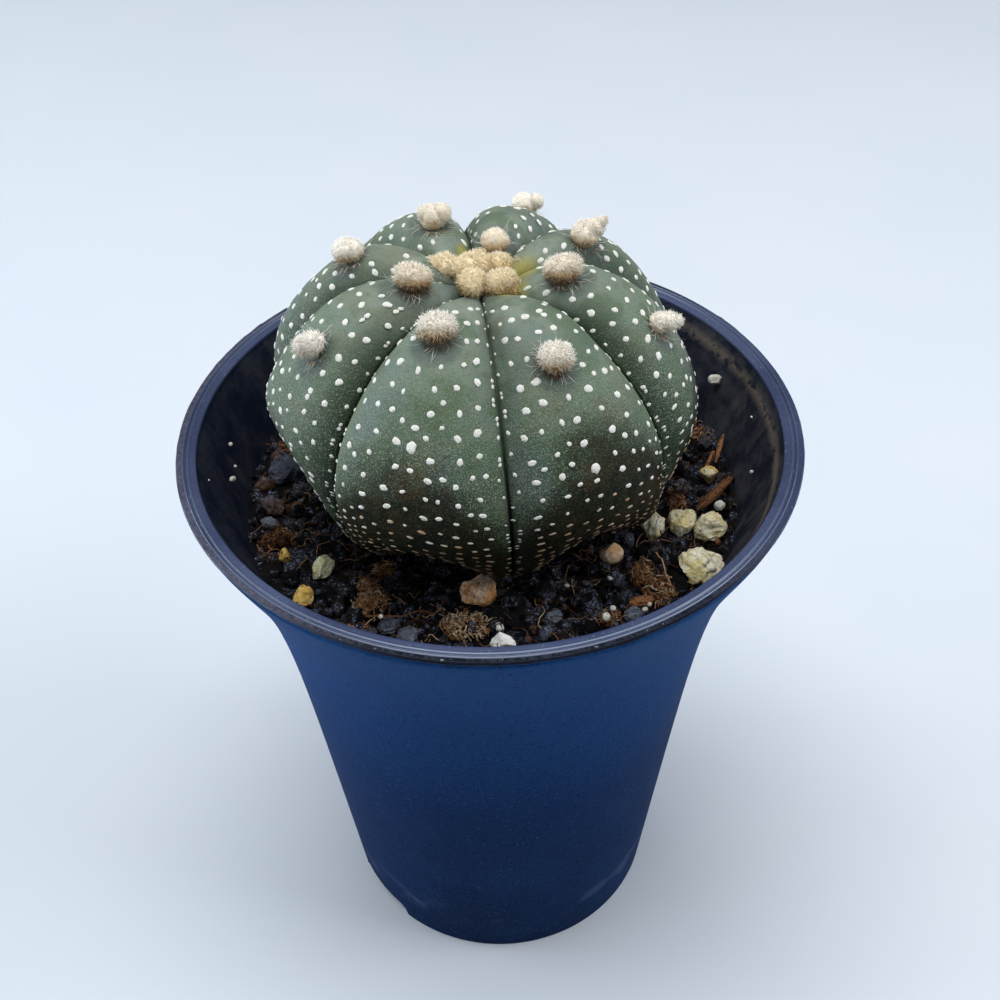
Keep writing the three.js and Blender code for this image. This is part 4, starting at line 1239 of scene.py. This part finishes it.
def make_grains(look, random):
    parts = []
    for number, (radius, degrees, sizes, shade) in enumerate(LARGE_GRAINS):
        points, faces = rock(4, sizes, 400 + number, 9, 0.6, 0.17, 0.34)
        place = on_soil(radius, degrees, sizes[2] * 0.35)
        parts.append((turned(points, degrees=37 * number) + place, faces, shade))
    for number, place in enumerate(scattered(360, 17, 33, 51, 0.4)):
        size = random.uniform(0.7, 1.5)
        sizes = size * random.uniform(0.7, 1, 3)
        past_wall = np.hypot(*place[:2]) + size + 0.2 - inner_radius(SOIL_LEVEL)
        place[:2] *= 1 - max(past_wall, 0) / np.hypot(*place[:2])
        points, faces = rock(3 if size > 1.1 else 2, sizes, 600 + number, 8, 0.6, 0.16, 0.4)
        shade = random.choice(GRAIN_SHADES, p=GRAIN_SHARES)
        lift = [0, 0, size * random.uniform(-0.15, 0.35)]
        parts.append((turned(points, number) + place + lift, faces, shade))
    make_joined("soil_grains", parts, look, "soil")


def make_soil_crumbs(look, random):
    parts = []
    for number, place in enumerate(scattered(1500, 16, 34.2, 52, 0.2)):
        size = random.uniform(0.25, 0.6)
        sizes = size * random.uniform(0.6, 1.1, 3)
        points, faces = rock(2 if size > 0.4 else 1, sizes, 2000 + number, 5, 0.6, 0.12, 0.5)
        shade = random.choice(CRUMB_SHADES, p=CRUMB_SHARES)
        lift = [0, 0, ground_relief(place) + size * 0.3]
        parts.append((turned(points, number) + place + lift, faces, shade))
    make_joined("soil_crumbs", parts, look, "soil")


def make_soil():
    look = soil_look()
    random = np.random.default_rng(5)
    make_ground(look)
    make_grains(look, random)
    make_soil_crumbs(look, random)


# Points along a thin root and along a short coir thread.
THREAD_STEPS, COIR_STEPS = 9, 6
# Clumps of coir: distance from the axis, angle, half sizes, turn, shade.
CLUMPS = [[31, -71, [1.3, 2.4, 1.1], 10, 0.4], [26.8, -37, [2.3, 2.3, 1.2], -20, 0.66],
          [24.6, -42, [1.6, 1.4, 0.9], -20, 0.7], [26.8, -8, [3.2, 2, 1.4], 0, 0.86],
          [30, 46, [2.6, 2, 1.2], 30, 0.66], [26.4, 48, [2.4, 1.3, 0.9], 20, 0.62],
          [26.2, 80, [1.8, 1.3, 1.1], 0, 0.52], [29, 30, [1.6, 1.2, 0.7], 0, 0.66],
          [30.2, -110, [2.4, 2, 1.1], 0, 0.5], [31.2, 108, [2, 1.4, 1], 60, 0.55],
          [29.5, -160, [2.8, 2, 1.1], 10, 0.55], [30, 152, [2.6, 2, 1.1], 30, 0.6],
          [20.9, -44, [1.8, 1, 0.8], 40, 0.7]]
# Pieces of bark: both ends as distance from the axis, angle and height above the soil; half thickness, shade.
BARK = [[28.9, 77, 0.7, 33.7, 87, 2.4, 0.6, 0.36], [32.4, 96, 0.6, 34.2, 101, 3.2, 0.3, 0.56],
        [28.9, 36.5, 0.8, 30.6, 42, 1, 0.8, 0.5], [31, -39, 0.6, 32, -33.5, 0.7, 0.45, 0.55],
        [30.6, 94, 0.5, 32.4, 98, 2, 0.28, 0.5], [31.8, 69, 0.3, 33, 66, 0.5, 0.4, 0.4]]
# Thin roots that lie over the soil: ends as distance from the axis and angle; half thickness.
ROOTS = [[30, -33, 25.6, -16, 0.14], [31.2, -28, 27.5, -17, 0.09], [24.4, -47, 29.5, -44, 0.07],
         [24.8, 2, 28.6, 18, 0.1], [23.4, 42, 27.6, 36, 0.09], [26, 55, 32, 47, 0.13],
         [28.5, 52, 32.4, 56, 0.12]]


def thread(start, way, length, droop, wander, seed, steps=THREAD_STEPS):
    """A path that wanders along the ground."""
    random = np.random.default_rng(seed)
    part = np.linspace(0, 1, steps)
    aside = unit(np.cross(way, [0, 0, 1.0]))
    phase, waves = random.uniform(0, 6.28), random.uniform(0.6, 1.6)
    path = start + length * part[:, None] * way
    path = path + aside * (wander * np.sin(phase + 6.28 * waves * part))[:, None]
    path[:, 2] += droop * np.sin(np.pi * part) + 0.15 * random.normal(size=steps)
    return path


def coir_clump(number, radius, degrees, sizes, turn, shade):
    """A matted lump: a ragged core under short curling threads."""
    random = np.random.default_rng(700 + number)
    place = on_soil(radius, degrees, 0.1)
    points, faces = ball(5 if sizes[0] * sizes[1] > 5.1 and abs(degrees) < 90 else 4)
    ragged = 0.34 * rough(points * 2 + number, 0.7, 60 + number, 4)
    lumpy = 0.8 + ragged - 0.2 * np.abs(noise(points * 3, 0.3, number))
    points = turned(points * lumpy[:, None] * sizes, degrees=turn + degrees) + place
    core = (points, faces, np.clip(shade - 0.22 + 0.2 * rough(points, 0.6, 80), 0, 1))
    paths = []
    for k in range(int(34 * sizes[0] * sizes[1])):
        spot = unit(random.normal(size=3)) * random.uniform(0.5, 1.1)
        spot[2] = abs(spot[2])
        spot = turned((spot * sizes)[None], degrees=turn + degrees)[0] + place
        way = unit(np.append(random.normal(size=2), random.uniform(-0.2, 0.5)))
        length = random.uniform(0.8, 2.2)
        paths.append(thread(spot - 0.5 * way, way, length, 0.35, 0.3, 100 * number + k, COIR_STEPS))
    widths = random.uniform(0.04, 0.12, (len(paths), 1)) * np.linspace(1, 0.6, COIR_STEPS)
    shades = np.clip(shade + random.normal(size=(len(paths), 1)) * 0.2, 0, 1) * np.ones((1, COIR_STEPS))
    return [core, strands(np.array(paths), widths, shades)]


def bark_stick(number, radius, degrees, height, end_radius, end_degrees, end_height, thickness, shade):
    """A splinter of bark from one place to another, split and rough along its length."""
    ends = [on_soil(radius, degrees, height), on_soil(end_radius, end_degrees, end_height)]
    way = (ends[1] - ends[0]) / 2
    length = np.linalg.norm(way)
    across = unit(np.cross(way, [0, 0, 1.0]))
    up = np.cross(across, unit(way))
    points, faces = ball(5 if thickness > 0.5 else 4)
    blunt = np.sign(points[:, 0]) * np.abs(points[:, 0]) ** 0.6
    ridges = 1 + 0.25 * noise(points * [0.5, 3, 3], 0.8, number) + 0.16 * rough(points * 2, 0.7, 20 + number)
    place = (ends[0] + ends[1]) / 2 + (blunt * length)[:, None] * unit(way)
    place = place + thickness * ridges[:, None] * (points[:, 1:2] * across + 0.8 * points[:, 2:3] * up)
    return place, faces, np.clip(shade + 0.14 * rough(points * [1, 4, 4], 0.8, 5), 0, 1)


def make_coir(look):
    """The clumps of coir and the splinters of bark."""
    parts = [part for number, clump in enumerate(CLUMPS) for part in coir_clump(number, *clump)]
    parts += [bark_stick(number, *stick) for number, stick in enumerate(BARK)]
    make_joined("coir_clumps", parts, look, "fibre")


def make_threads(look):
    """Loose fibres all over the soil, and the thin roots; none of them reaches the pot's wall."""
    random = np.random.default_rng(9)
    paths, widths = [], []
    for number, place in enumerate(scattered(620, 17, 33.4, 53)):
        way = unit(np.append(random.normal(size=2), 0.0))
        start = place - way * 1.5 + [0, 0, random.uniform(0.1, 1.0)]
        length, droop, wander = random.uniform(1.2, 5), random.uniform(0, 0.9), random.uniform(0.2, 0.7)
        paths.append(thread(start, way, length, droop, wander, 5000 + number))
        widths.append(random.uniform(0.035, 0.11))
    for number, (radius, degrees, end_radius, end_degrees, width) in enumerate(ROOTS):
        start = polar(radius, degrees, SOIL_LEVEL + 1.3)
        end = polar(end_radius, end_degrees, SOIL_LEVEL + 1.5)
        paths.append(thread(start, unit(end - start), np.linalg.norm(end - start), 0.3, 0.35, 6000 + number))
        widths.append(width)
    paths = np.array(paths)
    limit = inner_radius(SOIL_LEVEL) - 0.3
    paths[..., :2] *= np.minimum(1, limit / np.hypot(paths[..., 0], paths[..., 1]))[..., None]
    widths = np.array(widths)[:, None] * np.linspace(1, 0.6, THREAD_STEPS)
    shades = random.uniform(0.05, 0.9, (len(paths), 1)) ** 1.6 + np.zeros((1, THREAD_STEPS))
    make_joined("soil_fibres", [strands(paths, widths, shades)], look, "fibre")


def make_fibres():
    look = fibre_look()
    make_coir(look)
    make_threads(look)


# White crumbs that stick to the wall or lie at its foot: distance from the axis, angle, height, half size.
WHITE_CRUMBS = [[36.3, 114, 88.8, 1.05], [33.6, -5, 83.4, 0.4], [29.9, 28, 83.7, 0.62],
                [29.1, 31, 83.7, 0.42], [31.6, 37, 83.6, 0.42], [31.3, 39, 83.5, 0.34],
                [27.3, 1, 83.4, 0.65], [22.3, 25, 83, 0.35], [31.9, 77, 84.2, 0.85], [29, -30, 83.6, 0.35],
                [24.5, 38, 83.2, 0.4], [33.2, -28, 83.8, 0.4], [35.6, -86, 87.4, 0.5],
                [36.4, -95, 88.9, 0.36], [35.6, -91, 87, 0.28], [35.8, 83, 87.7, 0.3], [37, 97, 90, 0.22],
                [38, -78, 92.2, 0.16]]


def make_perlite():
    parts = []
    for number, (radius, degrees, height, size) in enumerate(WHITE_CRUMBS):
        sizes = np.array([1, 0.85, 0.8]) * size
        points, faces = rock(4 if size > 0.5 else 3, sizes, 900 + number, 5, 0.7, 0.06, 0.6)
        parts.append((turned(points, degrees=50 * number) + polar(radius, degrees, height), faces, 1))
    make_joined("perlite_crumbs", parts, stone_look("perlite"), "white_grit")


# The stage.

def make_floor():
    size = 2500
    corners = [[-size, -size, 0], [size, -size, 0], [size, size, 0], [-size, size, 0]]
    floor = make_piece("floor", corners, [[0, 1, 2, 3]])
    floor.data.materials.append(floor_look())


# Area lights, in metres: name, place, width, power and colour.
LIGHTS = [("key", (-0.05, 0.05, 0.78), 0.5, 4.4, (1, 0.99, 0.97)),
          ("fill left", (-0.75, -0.1, 0.42), 0.5, 1.8, (0.9, 0.95, 1)),
          ("low left", (-0.8, 0.2, 0.16), 0.4, 4.5, (0.8, 0.9, 1)),
          ("fill right", (0.62, -0.12, 0.62), 0.4, 3.2, (0.98, 0.98, 1)),
          ("low right", (0.8, 0.25, 0.2), 0.4, 1.2, (0.74, 0.87, 1))]
LIGHT_AIM = (0, 0, 0.08)
SKY, SKY_STRENGTH = (0.86, 0.93, 1, 1), 0.3


def make_lights():
    for name, place, width, power, colour in LIGHTS:
        data = bpy.data.lights.new(name, "AREA")
        data.size, data.energy, data.color = width, power, colour
        light = bpy.data.objects.new(name, data)
        light.location = place
        light.rotation_euler = (Vector(LIGHT_AIM) - Vector(place)).to_track_quat("-Z", "Y").to_euler()
        bpy.context.scene.collection.objects.link(light)
    world = bpy.data.worlds.new("studio")
    world.use_nodes = True
    world.node_tree.nodes["Background"].inputs["Color"].default_value = SKY
    world.node_tree.nodes["Background"].inputs["Strength"].default_value = SKY_STRENGTH
    bpy.context.scene.world = world
    bpy.context.scene.view_settings.view_transform = "Standard"


# The camera stands where the photograph was taken from: metres, degrees and the lens in millimetres.
CAMERA_PLACE = (0, -0.135647, 0.206676)
CAMERA_TURN = (46.8842, 0.9638, -1.3942)
CAMERA_LENS = 46.8


def make_camera():
    data = bpy.data.cameras.new("camera")
    data.lens = CAMERA_LENS
    data.clip_start = 0.01
    camera = bpy.data.objects.new("camera", data)
    camera.location = CAMERA_PLACE
    camera.rotation_euler = np.radians(CAMERA_TURN)
    bpy.context.scene.collection.objects.link(camera)
    bpy.context.scene.camera = camera


make_pot()
make_skin()
make_flecks()
make_tufts()
make_crown()
make_soil()
make_fibres()
make_perlite()
make_stones()
make_floor()
make_lights()
make_camera()
